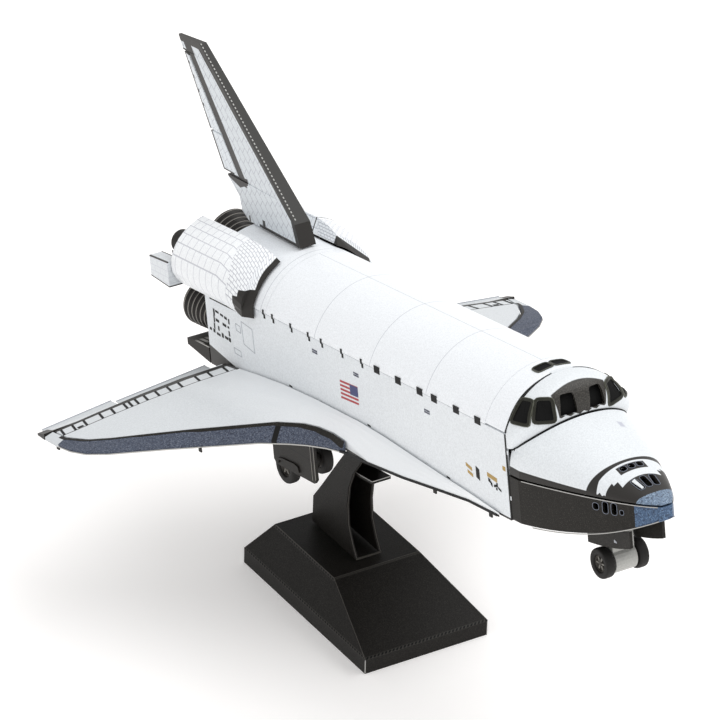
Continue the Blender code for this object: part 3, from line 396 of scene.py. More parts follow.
def drop(points, direction, names, deep=math.inf):
    """The points moved along a direction onto the first surface of some CAD nodes.

    A point p meets a triangle where p + t d = a + u (b - a) + v (c - a); the smallest t with u,
    v and 1 - u - v not below zero is taken, over all triangles at once. A point that meets
    nothing, or lies deeper than the middle t plus deep, takes the t of the nearest that does.
    """
    p = np.asarray(points, dtype=float).reshape(-1, 3)
    d = np.broadcast_to(unit(direction), np.shape(points)).reshape(-1, 3)
    a, b, c = triangles(names).transpose(1, 0, 2)
    e1, e2 = b - a, c - a
    h = np.cross(d[:, None], e2[None])
    det = np.einsum("ij,kij->ki", e1, h)
    det = np.where(np.abs(det) < 1e-12, np.nan, det)
    s = p[:, None] - a[None]
    u = np.einsum("kij,kij->ki", s, h) / det
    q = np.cross(s, e1[None])
    v = np.einsum("kj,kij->ki", d, q) / det
    t = np.einsum("ij,kij->ki", e2, q) / det
    slack = 1e-6
    hit = (u >= -slack) & (v >= -slack) & (u + v <= 1 + slack) & np.isfinite(t)
    t = np.where(hit, t, np.inf).min(axis=1)
    found = np.isfinite(t)
    found &= t <= np.median(t[found]) + deep
    if not found.all():
        apart = np.linalg.norm(p[~found][:, None] - p[found][None], axis=2)
        t[~found] = t[found][apart.argmin(axis=1)]
    return (p + d * t[:, None]).reshape(np.shape(points)), d.reshape(np.shape(points))


def lay(name, grids, direction, onto, material, lift=PRINT_LIFT):
    """Thin plates of print: a stack of grids dropped onto the CAD and given a little height."""
    hit, d = drop(grids, direction, onto)
    piece(name, slabs(hit - d * lift, hit + d * PLATE_SINK), material)


def bilinear(quads, rows=2, cols=2):
    """Grids of rows by cols cells over quads: corners (count, 4, 3) blended by both shares."""
    q = np.asarray(quads, dtype=float)
    u = np.linspace(0, 1, rows + 1)[:, None, None]
    v = np.linspace(0, 1, cols + 1)[None, :, None]
    a, b, c, d = (q[:, k, None, None] for k in range(4))
    return (a * (1 - u) + b * u) * (1 - v) + (d * (1 - u) + c * u) * v


def upright(u, v, level):
    """Points (u, level, v) of a drawing held beside the model."""
    return xyz(u, level, v)


def flat(u, v, level):
    """Points (u, v, level) of a drawing held over the model."""
    return xyz(u, v, level)


def bars(rows, level, held=upright):
    """Corners of leaning rectangles. columns: u, v, length along u, height along v, lean dv/du."""
    rows = np.asarray(rows, dtype=float)
    u, v, length, height, lean = (rows[:, k, None] for k in range(5))
    a = np.array([[-0.5, 0.5, 0.5, -0.5]]) * length
    b = np.array([[-0.5, -0.5, 0.5, 0.5]]) * height
    return held(u + a, v + b + a * lean, level)


def lines(rows, width, level, held=upright):
    """Corners of thin lines of a width. columns: u and v of one end, u and v of the other."""
    rows = np.asarray(rows, dtype=float)
    start, end = rows[:, :2], rows[:, 2:]
    along = end - start
    across = unit(np.stack([-along[:, 1], along[:, 0]], axis=-1)) * width / 2
    corners = np.stack([start - across, end - across, end + across, start + across], axis=1)
    return held(corners[..., 0], corners[..., 1], level)


def outline_rows(points):
    """A closed outline's points as rows of line ends."""
    points = np.asarray(points, dtype=float)
    return np.concatenate([points, np.roll(points, -1, axis=0)], axis=1)


def rod(path, width=0.12, depth=0.12, side=(0, 0, 1)):
    """A thin square rod along a path, half its width and depth either side of each point.

    Across is the cross product of the path's direction and the given side.
    """
    p = np.asarray(path, dtype=float)
    along = unit(np.gradient(p, axis=0))
    across = unit(np.cross(along, side))
    up = np.cross(across, along)
    ring = [(-1, -1), (1, -1), (1, 1), (-1, 1)]
    return tube(np.stack([p + across * a * width / 2 + up * b * depth / 2 for a, b in ring], axis=1))


def rods(name, paths, material, to_world=place, **sizes):
    """One piece of thin rods along several paths."""
    piece(name, joined([rod(path, **sizes) for path in paths]), material, to_world=to_world)


def finer(outline, parts):
    """A closed outline with each of its edges cut into equal parts."""
    share = np.arange(parts)[None, :, None] / parts
    after = np.roll(outline, -1, axis=0)
    return (outline[:, None] * (1 - share) + after[:, None] * share).reshape(-1, 3)


def band(outer, inner, direction, onto, lift, deep=math.inf):
    """A frame between two outlines of equal count, dropped onto the CAD, one lift high."""
    across = np.stack([outer + (inner - outer) * share for share in (0.0, 0.5, 1.0)], axis=1)
    hit, d = drop(across, direction, onto, deep)
    return tube(np.concatenate([hit - d * lift, (hit + d * FRAME_SINK)[:, ::-1]], axis=1), close=True)


def turned(profile, at, axis=(0, 1, 0), up=(0, 0, 1), sides=40, close=False):
    """A profile of (along, radius) pairs turned about an axis, capped or closed on itself."""
    profile = np.asarray(profile, dtype=float)
    axis = np.asarray(axis, dtype=float)
    side = unit(np.cross(up, axis))
    top = np.cross(axis, side)
    turn = np.arange(sides) * 2 * math.pi / sides
    spokes = np.cos(turn)[:, None] * side + np.sin(turn)[:, None] * top
    rings = np.asarray(at) + profile[:, :1, None] * axis + profile[:, 1:, None] * spokes[None]
    return tube(rings, close=close)


# Materials

def add_node(tree, kind, inputs, **settings):
    """A new shader node: its settings, and its inputs set to values or linked to fields or sockets."""
    node = tree.nodes.new("ShaderNode" + kind)
    for name, value in settings.items():
        setattr(node, name, value)
    for key, value in inputs.items():
        value = value.socket if isinstance(value, Field) else value
        if isinstance(value, bpy.types.NodeSocket):
            tree.links.new(value, node.inputs[key])
        else:
            node.inputs[key].default_value = value
    return node


class Field:
    """A number that varies over a surface: a socket of a material, with arithmetic as maths nodes."""

    def __init__(self, tree, socket):
        """Holds the node tree and the socket."""
        self.tree = tree
        self.socket = socket

    def calc(self, operation, *values, clamp=False):
        """A new field from a Math node fed with fields or numbers."""
        node = add_node(self.tree, "Math", dict(enumerate(values)), operation=operation, use_clamp=clamp)
        return Field(self.tree, node.outputs[0])

    def __add__(self, other):
        return self.calc("ADD", self, other)

    __radd__ = __add__

    def __sub__(self, other):
        return self.calc("SUBTRACT", self, other)

    def __rsub__(self, other):
        return self.calc("SUBTRACT", other, self)

    def __mul__(self, other):
        return self.calc("MULTIPLY", self, other)

    def __neg__(self):
        return self.calc("MULTIPLY", self, -1.0)

    def __abs__(self):
        return self.calc("ABSOLUTE", self)

    def top(self, other):
        """The larger of two: where distances to shapes are fields, both shapes at once."""
        return self.calc("MAXIMUM", self, other)

    def low(self, other):
        """The smaller of two: where distances to shapes are fields, either shape."""
        return self.calc("MINIMUM", self, other)

    def wave(self, period):
        """Distance from the middle of each repeat of a period, from 0 to half the period."""
        turn = self.calc("FRACT", self * (1.0 / period))
        return abs(turn - 0.5) * period


class Ink:
    """A printed sheet's material in the making: fields for the place, and colours laid on in turn."""

    def __init__(self, name, colour, roughness=0.42, metallic=0.0, grain=0.5, over_floor=False):
        """Starts with a ground colour; x, y, z are orbiter millimetres, or those over the floor."""
        self.material = bpy.data.materials.new(name)
        self.material.use_nodes = True
        self.tree = self.material.node_tree
        self.shader = self.tree.nodes["Principled BSDF"]
        self.shader.inputs["Roughness"].default_value = roughness
        self.shader.inputs["Metallic"].default_value = metallic
        self.shader.inputs["Specular IOR Level"].default_value = 0.22 if max(colour) < 0.12 else 0.4
        self.material.diffuse_color = (*colour, 1.0)
        c, s = math.cos(PITCH), math.sin(PITCH)
        turn, shift = PITCH, (DATUM_X * c - ATTITUDE_Z * s, 0, -DATUM_X * s - ATTITUDE_Z * c)
        if over_floor:
            turn, shift = 0, (DATUM_X, 0, 0)
        coordinates = add_node(self.tree, "TexCoord", {})
        mapping = add_node(self.tree, "Mapping", {"Vector": coordinates.outputs["Object"], "Location": shift,
                                                  "Rotation": (0, turn, 0), "Scale": (1 / MM,) * 3})
        self.place = mapping.outputs["Vector"]
        split = add_node(self.tree, "SeparateXYZ", {0: self.place})
        self.x, self.y, self.z = (Field(self.tree, split.outputs[k]) for k in range(3))
        self.speckle(colour, grain)

    def noise(self, scale, detail=2.0, stretch=None):
        """A noise field in millimetre scale."""
        vector = self.place
        if stretch:
            vector = add_node(self.tree, "Mapping", {"Vector": vector, "Scale": stretch}).outputs[0]
        node = add_node(self.tree, "TexNoise", {"Vector": vector, "Scale": scale, "Detail": detail})
        return Field(self.tree, node.outputs["Fac"])

    def mix(self, mask, under, over):
        """Colour under, changed to colour over where the mask is 1.

        Of a colour Mix node's sockets, 0 is the mask, 6 and 7 are the colours and 2 is the result.
        """
        under, over = (value if isinstance(value, bpy.types.NodeSocket) else (*value, 1.0)
                       for value in (under, over))
        return add_node(self.tree, "Mix", {0: mask, 6: under, 7: over}, data_type="RGBA").outputs[2]

    def speckle(self, colour, amount):
        """Ground colour with a fine uneven grain, darker and lighter by a share of the amount."""
        fine = self.noise(5.0, 3.0)
        mask = fine.calc("MULTIPLY_ADD", fine, 2.4, -0.7, clamp=True)
        dark = tuple(c * (1 - 0.22 * amount) for c in colour)
        light = tuple(min(1.0, c * (1 + 0.10 * amount)) for c in colour)
        self.colour = self.mix(mask, dark, light)

    def cover(self, distance, colour, soft=0.05, strength=1.0):
        """Lays a colour where a distance field is below zero, with an edge of the given softness."""
        mask = distance.calc("MULTIPLY_ADD", distance, -1.0 / soft, 0.5, clamp=True)
        if strength < 1.0:
            mask = mask * strength
        self.colour = self.mix(mask, self.colour, colour)

    def box(self, u, u0, u1, v, v0, v1):
        """Distance to a rectangle in two fields."""
        across = abs(u - (u0 + u1) / 2) - (u1 - u0) / 2
        along = abs(v - (v0 + v1) / 2) - (v1 - v0) / 2
        return across.top(along)

    def edge(self, u, v, start, end):
        """Distance to the line from start to end in two fields, above zero on its right."""
        du, dv = end[0] - start[0], end[1] - start[1]
        length = math.hypot(du, dv)
        return (u - start[0]) * (dv / length) - (v - start[1]) * (du / length)

    def polygon(self, u, v, corners):
        """Distance to a convex shape in two fields, its corners counter-clockwise."""
        distance = self.edge(u, v, corners[-1], corners[0])
        for start, end in zip(corners, corners[1:]):
            distance = distance.top(self.edge(u, v, start, end))
        return distance

    def tiles(self, u, v, width, height, line, where=None, colour=TILE_GREY, strength=0.8):
        """Lays the joint lines of staggered tiles over two fields, where a distance is below zero."""
        join = add_node(self.tree, "CombineXYZ", {0: u, 1: v})
        node = add_node(self.tree, "TexBrick", {"Vector": join.outputs[0], "Scale": 1.0, "Mortar Size": line,
                                                "Mortar Smooth": 0.4, "Brick Width": width,
                                                "Row Height": height}, offset=0.5)
        mask = Field(self.tree, node.outputs["Fac"]) * strength
        if where is not None:
            mask = mask * where.calc("MULTIPLY_ADD", where, -20.0, 0.5, clamp=True)
        self.colour = self.mix(mask, self.colour, colour)

    def slate(self, distance, lift=(1.0, 1.0, 1.0)):
        """Lays the speckled slate print where the distance is below zero, lighter by a lift; a lift above 1
        is painted light, a lighter copy of the slate where it is lit.
        """
        self.cover(distance, np.multiply(finish().slate, lift), soft=0.04)
        self.cover((0.57 - self.noise(5.5, 1.0)).top(distance), np.multiply((0.18, 0.20, 0.25), lift),
                   soft=0.16, strength=0.6)
        self.cover((0.60 - self.noise(3.6, 1.0, (1.3, 0.8, 1.0))).top(distance), (0.018, 0.020, 0.032),
                   soft=0.14, strength=0.6)

    def round_angle(self):
        """Arc length round the rolled top's centre, from the ridge down either side."""
        lean = self.z - TOP_CENTRE_Z
        return lean.calc("ARCTAN2", abs(self.y), lean) * TOP_RADIUS

    def done(self, bump=0.06):
        """Joins the colour to the shader and adds a fine bump from the grain."""
        self.tree.links.new(self.colour, self.shader.inputs["Base Color"])
        if bump:
            node = add_node(self.tree, "Bump", {"Strength": bump, "Distance": BUMP_DEPTH,
                                                "Height": self.noise(7.0, 3.0)})
            self.tree.links.new(node.outputs["Normal"], self.shader.inputs["Normal"])
        return self.material


# What a user would change

def colour(name, description, default):
    """A colour setting."""
    return FloatVectorProperty(name=name, description=description, subtype="COLOR", size=3, min=0, max=1,
                               default=default)


class ShuttleFinish(bpy.types.PropertyGroup):
    """Colours of the printed and bare sheet."""

    white: colour("White print", "Ground of the orbiter's upper sheets", (0.755, 0.785, 0.81))
    charcoal: colour("Charcoal print", "Dark tile areas and outlines", (0.011, 0.0095, 0.0075))
    slate: colour("Slate print", "Leading edges and nose cap", (0.058, 0.070, 0.102))
    steel: colour("Bare steel", "Cut edges of the sheet", (0.46, 0.455, 0.44))
    stand: colour("Stand black", "Folded stand", (0.007, 0.006, 0.005))


class ShuttleStage(bpy.types.PropertyGroup):
    """Camera, light and floor."""

    azimuth: FloatProperty(name="Azimuth", description="Camera's turn about the vertical",
                           subtype="ANGLE", default=math.radians(57.586))
    elevation: FloatProperty(name="Elevation", description="Camera's height angle",
                             subtype="ANGLE", default=math.radians(30.75))
    roll: FloatProperty(name="Roll", description="Camera's tilt about its view", subtype="ANGLE",
                        default=math.radians(1.6))
    distance: FloatProperty(name="Distance", description="Camera to the middle of the model",
                            subtype="DISTANCE", unit="LENGTH", default=0.80883)
    lens: FloatProperty(name="Lens", description="Focal length in millimetres for a 36 mm sensor",
                        default=287.87)
    key: FloatProperty(name="Key light", description="Power of the soft light from above, in watts",
                       default=3.2, min=0)
    fill: FloatProperty(name="Fill", description="Strength of the surrounding white", default=0.80, min=0)
    table_glow: FloatProperty(name="Table glow", description="Light that comes through the table top",
                              default=0.22, min=0)
    floor: colour("Floor", "Floor's colour", (0.95, 0.935, 0.925))


def finish():
    """The scene's colours."""
    return bpy.context.scene.shuttle_finish


def ink(name, ground, **options):
    """A new material on a ground colour, or on one of the finish colours by its name."""
    shade = tuple(getattr(finish(), ground)) if isinstance(ground, str) else ground
    return Ink(name, shade, **options)


def charcoal_ground(name):
    """The start of a dark print with a grey grain."""
    sheet = ink(name, "charcoal", roughness=0.5, grain=1.0)
    sheet.cover(0.62 - sheet.noise(8.0, 2.0), (0.055, 0.050, 0.043), soft=0.14, strength=0.6)
    return sheet


def plain(name):
    """A plain finish, made the first time it is asked for."""
    if name not in bpy.data.materials:
        _, ground, bump, options = PLAIN[name]
        sheet = charcoal_ground(name) if ground == "charcoal" else ink(name, ground, **options)
        sheet.done(bump)
    return bpy.data.materials[name]


def dress(names, material):
    """Gives a material, or a plain finish by name, to CAD nodes whose shape is right."""
    for name in names:
        data = NODES[name].data
        data.materials.clear()
        data.materials.append(plain(material) if isinstance(material, str) else material)


class SHUTTLE_OT_stage(bpy.types.Operator):
    """Camera at the photo's angle, pale floor and soft studio light"""

    bl_idname = "shuttle.stage"
    bl_label = "Stage"

    def execute(self, context):
        """Makes the camera, the floor, the world and the lights."""
        settings = context.scene.shuttle_stage
        a, e, r = settings.azimuth, settings.elevation, settings.roll
        back = np.array([math.sin(a) * math.cos(e), -math.cos(a) * math.cos(e), math.sin(e)])
        right = np.array([math.cos(a), math.sin(a), 0.0])
        up = np.cross(back, right)
        turned_right = math.cos(r) * right + math.sin(r) * up
        turned_up = math.cos(r) * up - math.sin(r) * right
        target = np.array([-12.29, 0.0, 38.222]) * MM
        eye = target + back * settings.distance
        camera = bpy.data.cameras.new("studio_camera")
        camera.sensor_width = 36
        camera.lens = settings.lens
        camera.clip_start = 0.01
        camera.clip_end = 20
        holder = bpy.data.objects.new("studio_camera", camera)
        holder.matrix_world = Matrix([[turned_right[k], turned_up[k], back[k], eye[k]] for k in range(3)]
                                     + [[0, 0, 0, 1]])
        context.scene.collection.objects.link(holder)
        context.scene.camera = holder
        self.make_floor(context, settings)
        self.make_light(context, settings)
        return {"FINISHED"}

    def make_floor(self, context, settings):
        """A wide flat table top, lit a little from below, with a faint unevenness in its colour."""
        size = 3.0
        mesh = bpy.data.meshes.new("studio_floor")
        mesh.from_pydata([(-size, -size, 0), (size, -size, 0), (size, size, 0), (-size, size, 0)], [],
                         [(0, 1, 2, 3)])
        floor = bpy.data.objects.new("studio_floor", mesh)
        context.scene.collection.objects.link(floor)
        cloth = Ink("studio_floor", tuple(settings.floor), roughness=0.9, grain=0.02)
        cloth.shader.inputs["Emission Color"].default_value = (*settings.floor, 1.0)
        cloth.shader.inputs["Emission Strength"].default_value = settings.table_glow
        mesh.materials.append(cloth.done(0))

    def make_light(self, context, settings):
        """White surroundings, a large key light from above and behind, and a weak side light."""
        world = bpy.data.worlds.new("studio")
        world.use_nodes = True
        ground = world.node_tree.nodes["Background"]
        ground.inputs[0].default_value = (1.0, 1.0, 1.0, 1.0)
        ground.inputs[1].default_value = settings.fill
        context.scene.world = world
        context.scene.view_settings.view_transform = "Standard"
        # columns: name, share of the key's power, size in metres, place
        lamps = (("key", 1.0, 0.7, (0.12, 0.30, 0.72)), ("side", 0.22, 0.6, (0.65, -0.55, 0.35)))
        for name, share, size, where in lamps:
            lamp = bpy.data.lights.new("studio_" + name, "AREA")
            lamp.energy = settings.key * share
            lamp.size = size
            holder = bpy.data.objects.new("studio_" + name, lamp)
            aim = unit(np.array([0, 0, 0.04]) - where)
            side = unit(np.cross(aim, (0, 0, 1)))
            rise = np.cross(side, aim)
            holder.matrix_world = Matrix([[side[k], rise[k], -aim[k], where[k]] for k in range(3)]
                                         + [[0, 0, 0, 1]])
            context.scene.collection.objects.link(holder)


class SHUTTLE_OT_fuselage(bpy.types.Operator):
    """Printed sides, rolled top sheets with fine seams, and the tail plate"""

    bl_idname = "shuttle.fuselage"
    bl_label = "Fuselage"

    def execute(self, context):
        """Dresses the sides and builds the top's sheets and the marks on them."""
        # painted shade: the sides' ground is the white print, a darker copy of the top's ground
        sheet = ink("side_print", "white")
        sheet.cover(sheet.z - (BELLY_Z + 0.3), DARK)
        sheet.cover(sheet.polygon(sheet.x, sheet.z, ((-49.0, -1.2), (-44.5, -0.7), (-41.2, 0.45),
                                                     (-48.6, 2.0))), DARK)
        dress(["fuselage_sides_and_belly"], sheet.done())
        # painted light: the top's ground is a lighter copy of the white print of the sides
        top = ink("top_print", (0.87, 0.895, 0.925))
        for x in (-32.3, -17.5, -2.7, 11.9):
            top.cover(abs(top.x - x) - 0.055, LINE_GREY, strength=0.8)
        print_white = top.done()
        dress(["forward_fuselage_top"], print_white)
        dress(["tail_bulkhead"], "charcoal_print")
        self.make_top(print_white)
        for side, sign in SIDES:
            self.make_marks(side, sign)
        return {"FINISHED"}

    def make_top(self, material):
        """Rolled sheets: arcs carried along X, with a short straight skirt at each hinge line."""
        start = FINE_SEAM / 2 / TOP_RADIUS
        front = DOOR_FRONT_X + SEAM / 2 - FINE_SEAM
        aft = DOOR_AFT_X + FINE_SEAM / 2
        # columns: name, first and last station, first and last angle, and the node it stands for;
        # an angle of 1 is the half angle, where the skirt begins
        sheets = (("bay_door_sheet_port", aft, front, start, 1, "payload_bay_door_port"),
                  ("bay_door_sheet_starboard", aft, front, -start, -1, "payload_bay_door_starboard"),
                  ("aft_top_sheet", TAIL_X, DOOR_AFT_X - FINE_SEAM / 2, -1, 1, "aft_fuselage_top"))
        low = HINGE_Z - SEAM + FINE_SEAM
        for name, x0, x1, a0, a1, node in sheets:
            angle = np.linspace(a0 * (TOP_HALF_ANGLE if abs(a0) == 1 else 1), a1 * TOP_HALF_ANGLE, 49)
            x = np.linspace(x0, x1, 2)[:, None]
            grids = []
            for inset in (0.0, SHEET):
                grid = rolled(angle[None], x, inset)
                skirts = []
                for end in (a0, a1):
                    rim = xyz(x, np.sign(end) * (HALF_WIDTH - inset), low)
                    skirts.append(rim if abs(end) == 1 else grid[:, :0])
                grids.append(np.concatenate([skirts[0], grid, skirts[1]], axis=1)[None])
            piece(name, slabs(*grids), material, smooth_deg=25, stands_for=[node])

    def make_marks(self, side, sign):
        """Printed marks of one side: hinge squares, fold tabs, bars, panels and a striped patch, and a
        painted shadow line along the pod's lower edge.
        """
        squares = (-0.85, 4.69, 10.25, 13.92, 19.49, 24.85)
        tabs = (-31.45, -28.93, -23.88, -19.09, -15.56, -10.12, -4.84)
        groups = ((-17.72, 9.36), (-6.69, 9.01), (11.79, 8.86))
        # columns of a row: x and z of the middle, length, height, and how far it leans; a hatch
        # outline's are x and z of one end and of the other
        marks = {
            "hinge_squares": [(x, 11.35, 1.45, 1.05, 0.0) for x in squares],
            "fold_tabs": ([(x - 0.15, 11.45, 0.44, 0.72, 0.0) for x in tabs]
                          + [(x + 0.15, 10.90, 0.44, 0.66, 0.0) for x in tabs]),
            "blue_dashes": [(x + shift, z + rise, 0.27, 0.24, 0.0) for x, z in groups
                            for shift in (-0.54, -0.18, 0.18, 0.54) for rise in (-0.16, 0.16)],
            "side_bars": [(-25.5, 2.0, 0.8, 0.22, -0.1), (-4.3, 2.2, 0.8, 0.22, -0.1),
                          (16.0, 0.55, 0.8, 0.22, -0.1), (23.85, 3.5, 0.85, 1.6, -0.35),
                          (26.7, 3.35, 0.5, 0.5, -0.3), (27.2, 2.95, 0.4, 0.5, -0.6),
                          (28.1, 2.95, 0.6, 0.35, 0.3), (28.6, 3.2, 0.3, 0.6, 0.0),
                          (29.2, 2.75, 0.7, 0.28, -0.4), (28.45, 2.6, 0.3, 0.35, 0.0)],
            "gold_bars": [(21.65, 3.82, 1.5, 0.5, -0.25), (21.9, 2.93, 1.3, 0.45, -0.25),
                          (27.45, 3.98, 2.4, 0.62, -0.1), (30.7, 6.2, 0.7, 0.62, 0.0)],
            # painted shadow: a dark line on the side along the pod's lower edge
            "pod_seam_dark": [(-42.7, 9.5, 8.8, 0.26, 0.0)],
            "stencil_dashes": self.stencil(),
            "hatch_outlines": self.hatches(),
            **self.patch(),
        }
        # columns: finish and lift, where they aren't dark print at the usual lift
        finishes = {"blue_dashes": ("blue_dash", THIN_LIFT), "gold_bars": ("gold_print", THIN_LIFT),
                    "pod_seam_dark": ("dark_print", THIN_LIFT), "hatch_outlines": ("grey_line", THIN_LIFT),
                    "patch_stripes": ("patch_red", THIN_LIFT), "patch_corner": ("patch_blue", PRINT_LIFT)}
        level = sign * (HALF_WIDTH + HOVER)
        for name, rows in marks.items():
            finish_name, lift = finishes.get(name, ("dark_print", PRINT_LIFT))
            corners = lines(rows, 0.11, level) if name == "hatch_outlines" else bars(rows, level)
            lay(name + "_" + side, bilinear(corners), (0, -sign, 0), ["fuselage_sides_and_belly"],
                finish_name, lift)

    def hatches(self):
        """Rows of the lines round three hatches near the tail."""
        shapes = (((-38.37, 8.21), (-35.33, 7.82), (-35.14, 4.24), (-38.13, 4.85)),
                  ((-40.1, 7.45), (-38.8, 7.3), (-38.7, 6.3), (-40.0, 6.45)),
                  ((-41.2, 3.5), (-39.3, 3.4), (-39.1, 2.6), (-41.0, 2.7)))
        return np.concatenate([outline_rows(shape) for shape in shapes])

    def stencil(self):
        """Rows of the dashed stencil panel near the tail."""
        # columns: x and z of the dash, its length and height
        dashes = ((-46.2, 7.35, 0.4, 0.75), (-45.3, 7.6, 0.9, 0.24), (-44.0, 7.45, 0.8, 0.24),
                  (-42.9, 7.3, 0.7, 0.3), (-42.0, 7.0, 0.3, 0.6), (-46.3, 6.3, 0.3, 0.8),
                  (-45.4, 6.25, 0.9, 0.3), (-43.4, 6.1, 1.0, 0.3), (-42.3, 6.05, 0.4, 0.24),
                  (-46.4, 5.2, 0.3, 0.7), (-45.2, 5.1, 0.35, 0.5), (-42.2, 5.1, 0.3, 0.6),
                  (-46.6, 4.4, 0.5, 0.4), (-45.4, 4.15, 1.0, 0.26), (-44.2, 4.3, 0.5, 0.5),
                  (-43.1, 4.2, 0.9, 0.3), (-42.2, 4.15, 0.5, 0.45), (-47.6, 4.45, 0.5, 0.3))
        return [(x, z + 0.2, length, height * 1.3, -0.10) for x, z, length, height in dashes]

    def patch(self):
        """Rows of a small patch: red stripes on the white, and a plain blue corner."""
        stripes = 9
        left, right, foot, head, lean = -11.35, -6.6, 4.4, 7.1, 0.05
        step = (head - foot) / stripes
        middle, length = (left + right) / 2, right - left
        return {"patch_stripes": [(middle, foot + step * (k + 0.5), length, step, lean)
                                  for k in range(0, stripes, 2)],
                "patch_corner": [(right - 0.22 * length, head - 2.5 * step, 0.44 * length, 5 * step, lean)]}


class SHUTTLE_OT_cabin(bpy.types.Operator):
    """Cabin print, window frames and dark panes of painted shade"""

    bl_idname = "shuttle.cabin"
    bl_label = "Cabin"

    def execute(self, context):
        """Dresses the cabin and adds frames, the dark inside of painted shade, and the seams."""
        sheet = ink("cabin_print", "white")
        across = abs(sheet.y)
        # the dark windscreen: an arch with a scalloped foot
        arch = (across - (sheet.z - 13.0) * 0.16 - 3.6).top(sheet.z + sheet.y * sheet.y * 0.065 - 17.45)
        scallop = sheet.y.wave(1.35) * 0.45
        panel = arch.top(scallop + 13.25 - sheet.z).top(34.8 - sheet.x)
        sheet.cover(panel, (0.020, 0.018, 0.015), soft=0.06)
        grain = (0.55 - sheet.noise(6.5, 2.0)).top(panel)
        sheet.cover(grain, (0.085, 0.079, 0.068), soft=0.16, strength=0.6)
        dress(["crew_cabin"], sheet.done(0.1))
        self.make_inside()
        self.make_frames()
        return {"FINISHED"}

    def make_inside(self):
        """Dark sheets just inside the cabin and its seams, painted shade of the hollow inside, the seams'
        dark lines and one tab.
        """
        # painted shade: a dark sheet under the dome, and dark linings behind the aft seam, the overhead
        # windows, the cone's seam and the side seams
        piece("cabin_dark_inside", slabs(cabin_grid(19, 41, 0.8)[None], cabin_grid(19, 41, 1.2)[None]),
              "dark_hollow")
        angle = np.linspace(-1, 1, 41)[None] * TOP_HALF_ANGLE
        # columns: name, first and last station, and share of the half angle
        for name, x0, x1, reach in (("cabin_seam_dark", CABIN_AFT_X - 0.8, CABIN_AFT_X + 0.7, 1.0),
                                    ("overhead_dark", 27.4, 30.8, 0.5)):
            x = np.array([[x0], [x1]])
            piece(name, slabs(*(rolled(angle * reach, x, inset)[None] for inset in (0.75, 1.0))),
                  "dark_hollow")
        self.cone_seam("cone_seam_dark", "dark_hollow", 61, 86, 0.1, 1.0, width=1.6, depth=0.3)
        walls = [xyz(CABIN_AFT_X + 0.1, sign * (HALF_WIDTH - SHEET - 0.35), np.linspace(-0.3, 11.2, 5))
                 for _, sign in SIDES]
        rods("side_seam_dark", walls, "dark_hollow", width=1.5, depth=0.25, side=(0, 1, 0))
        seam_x = CABIN_AFT_X - 0.02
        wide = 0.16 + 0.30 * np.sin(np.linspace(0, math.pi, 41)) ** 2
        ends = np.stack([seam_x - wide, seam_x + 0.4 * wide], axis=0)
        seams = []
        for _, sign in SIDES:
            angle = sign * np.linspace(0.17, TOP_HALF_ANGLE, 41)[None]
            seams.append(slabs(*(rolled(angle, ends, inset)[None] for inset in (-0.03, 0.2))))
            foot = xyz(seam_x - 0.16, sign * (HALF_WIDTH + 0.02), np.linspace(-0.7, 11.3, 7))
            seams.append(rod(foot, 0.34, 0.06, (0, 1, 0)))
        piece("cabin_seam_line", joined(seams), "dark_print")
        self.cone_seam("cone_seam_line", "dark_print", 161, 69, 0.06, -0.02, width=0.30, depth=0.10)
        angle = np.linspace(-0.16, 0.16, 9)[None]
        x = np.array([[CABIN_AFT_X - 0.6], [CABIN_AFT_X + 0.1]])
        piece("cabin_top_tab", slabs(*(rolled(angle, x, inset)[None] for inset in (-0.04, 0.2))),
              "white_print")

    def cone_seam(self, name, finish_name, count, sweep, ahead, inset, **sizes):
        """A strip round the cone just ahead of the screen's base, to a sweep in degrees either side."""
        turn = np.linspace(-1, 1, count) * math.radians(sweep)
        path = cone_point(screen_base_x(turn) + ahead, turn, inset)
        rods(name, [path], finish_name, side=xyz(0, np.sin(turn), np.cos(turn)), **sizes)

    def make_frames(self):
        """Rounded frames round the windows, each with a thin lighter rim, a painted highlight along the
        frame, and a dark pane, painted shade in the window's opening.
        """
        onto = ["crew_cabin", "forward_fuselage_top"]
        for side, sign in SIDES:
            mirror = np.array((1, sign, 1))
            frames, rims, panes = [], [], []
            for centre, normal, up, bottom, top, height, wide in WINDOWS:
                normal = unit(normal * mirror)
                start = np.array(centre) * mirror + normal * HOVER
                # margins of the frame's two outlines, the rim's two and the pane's
                shapes = [trapezium(bottom + 2 * m, top + 2 * m, height + 2 * m, 0.4 + 1.1 * m)
                          for m in (wide, -0.08, wide + 0.05, wide - 0.04, 0.05)]
                rings = [finer(in_plane(start, normal, up, shape), 4) for shape in shapes]
                frames.append(band(*rings[:2], -normal, onto, 0.11, WINDOW_RELIEF))
                # painted highlight: a lighter rim along the frame's outer edge
                rims.append(band(*rings[2:4], -normal, onto, 0.14, WINDOW_RELIEF))
                # painted shade: a dark plug in the window's opening
                hole = drop(rings[4], -normal, onto, WINDOW_RELIEF)[0]
                panes.append(tube(np.stack([hole + normal * 0.015, hole - normal * 0.30])))
            piece("window_frames_" + side, joined(frames), "frame_olive")
            piece("window_rims_" + side, joined(rims), "rim_olive")
            piece("window_panes_" + side, joined(panes), "dark_hollow")


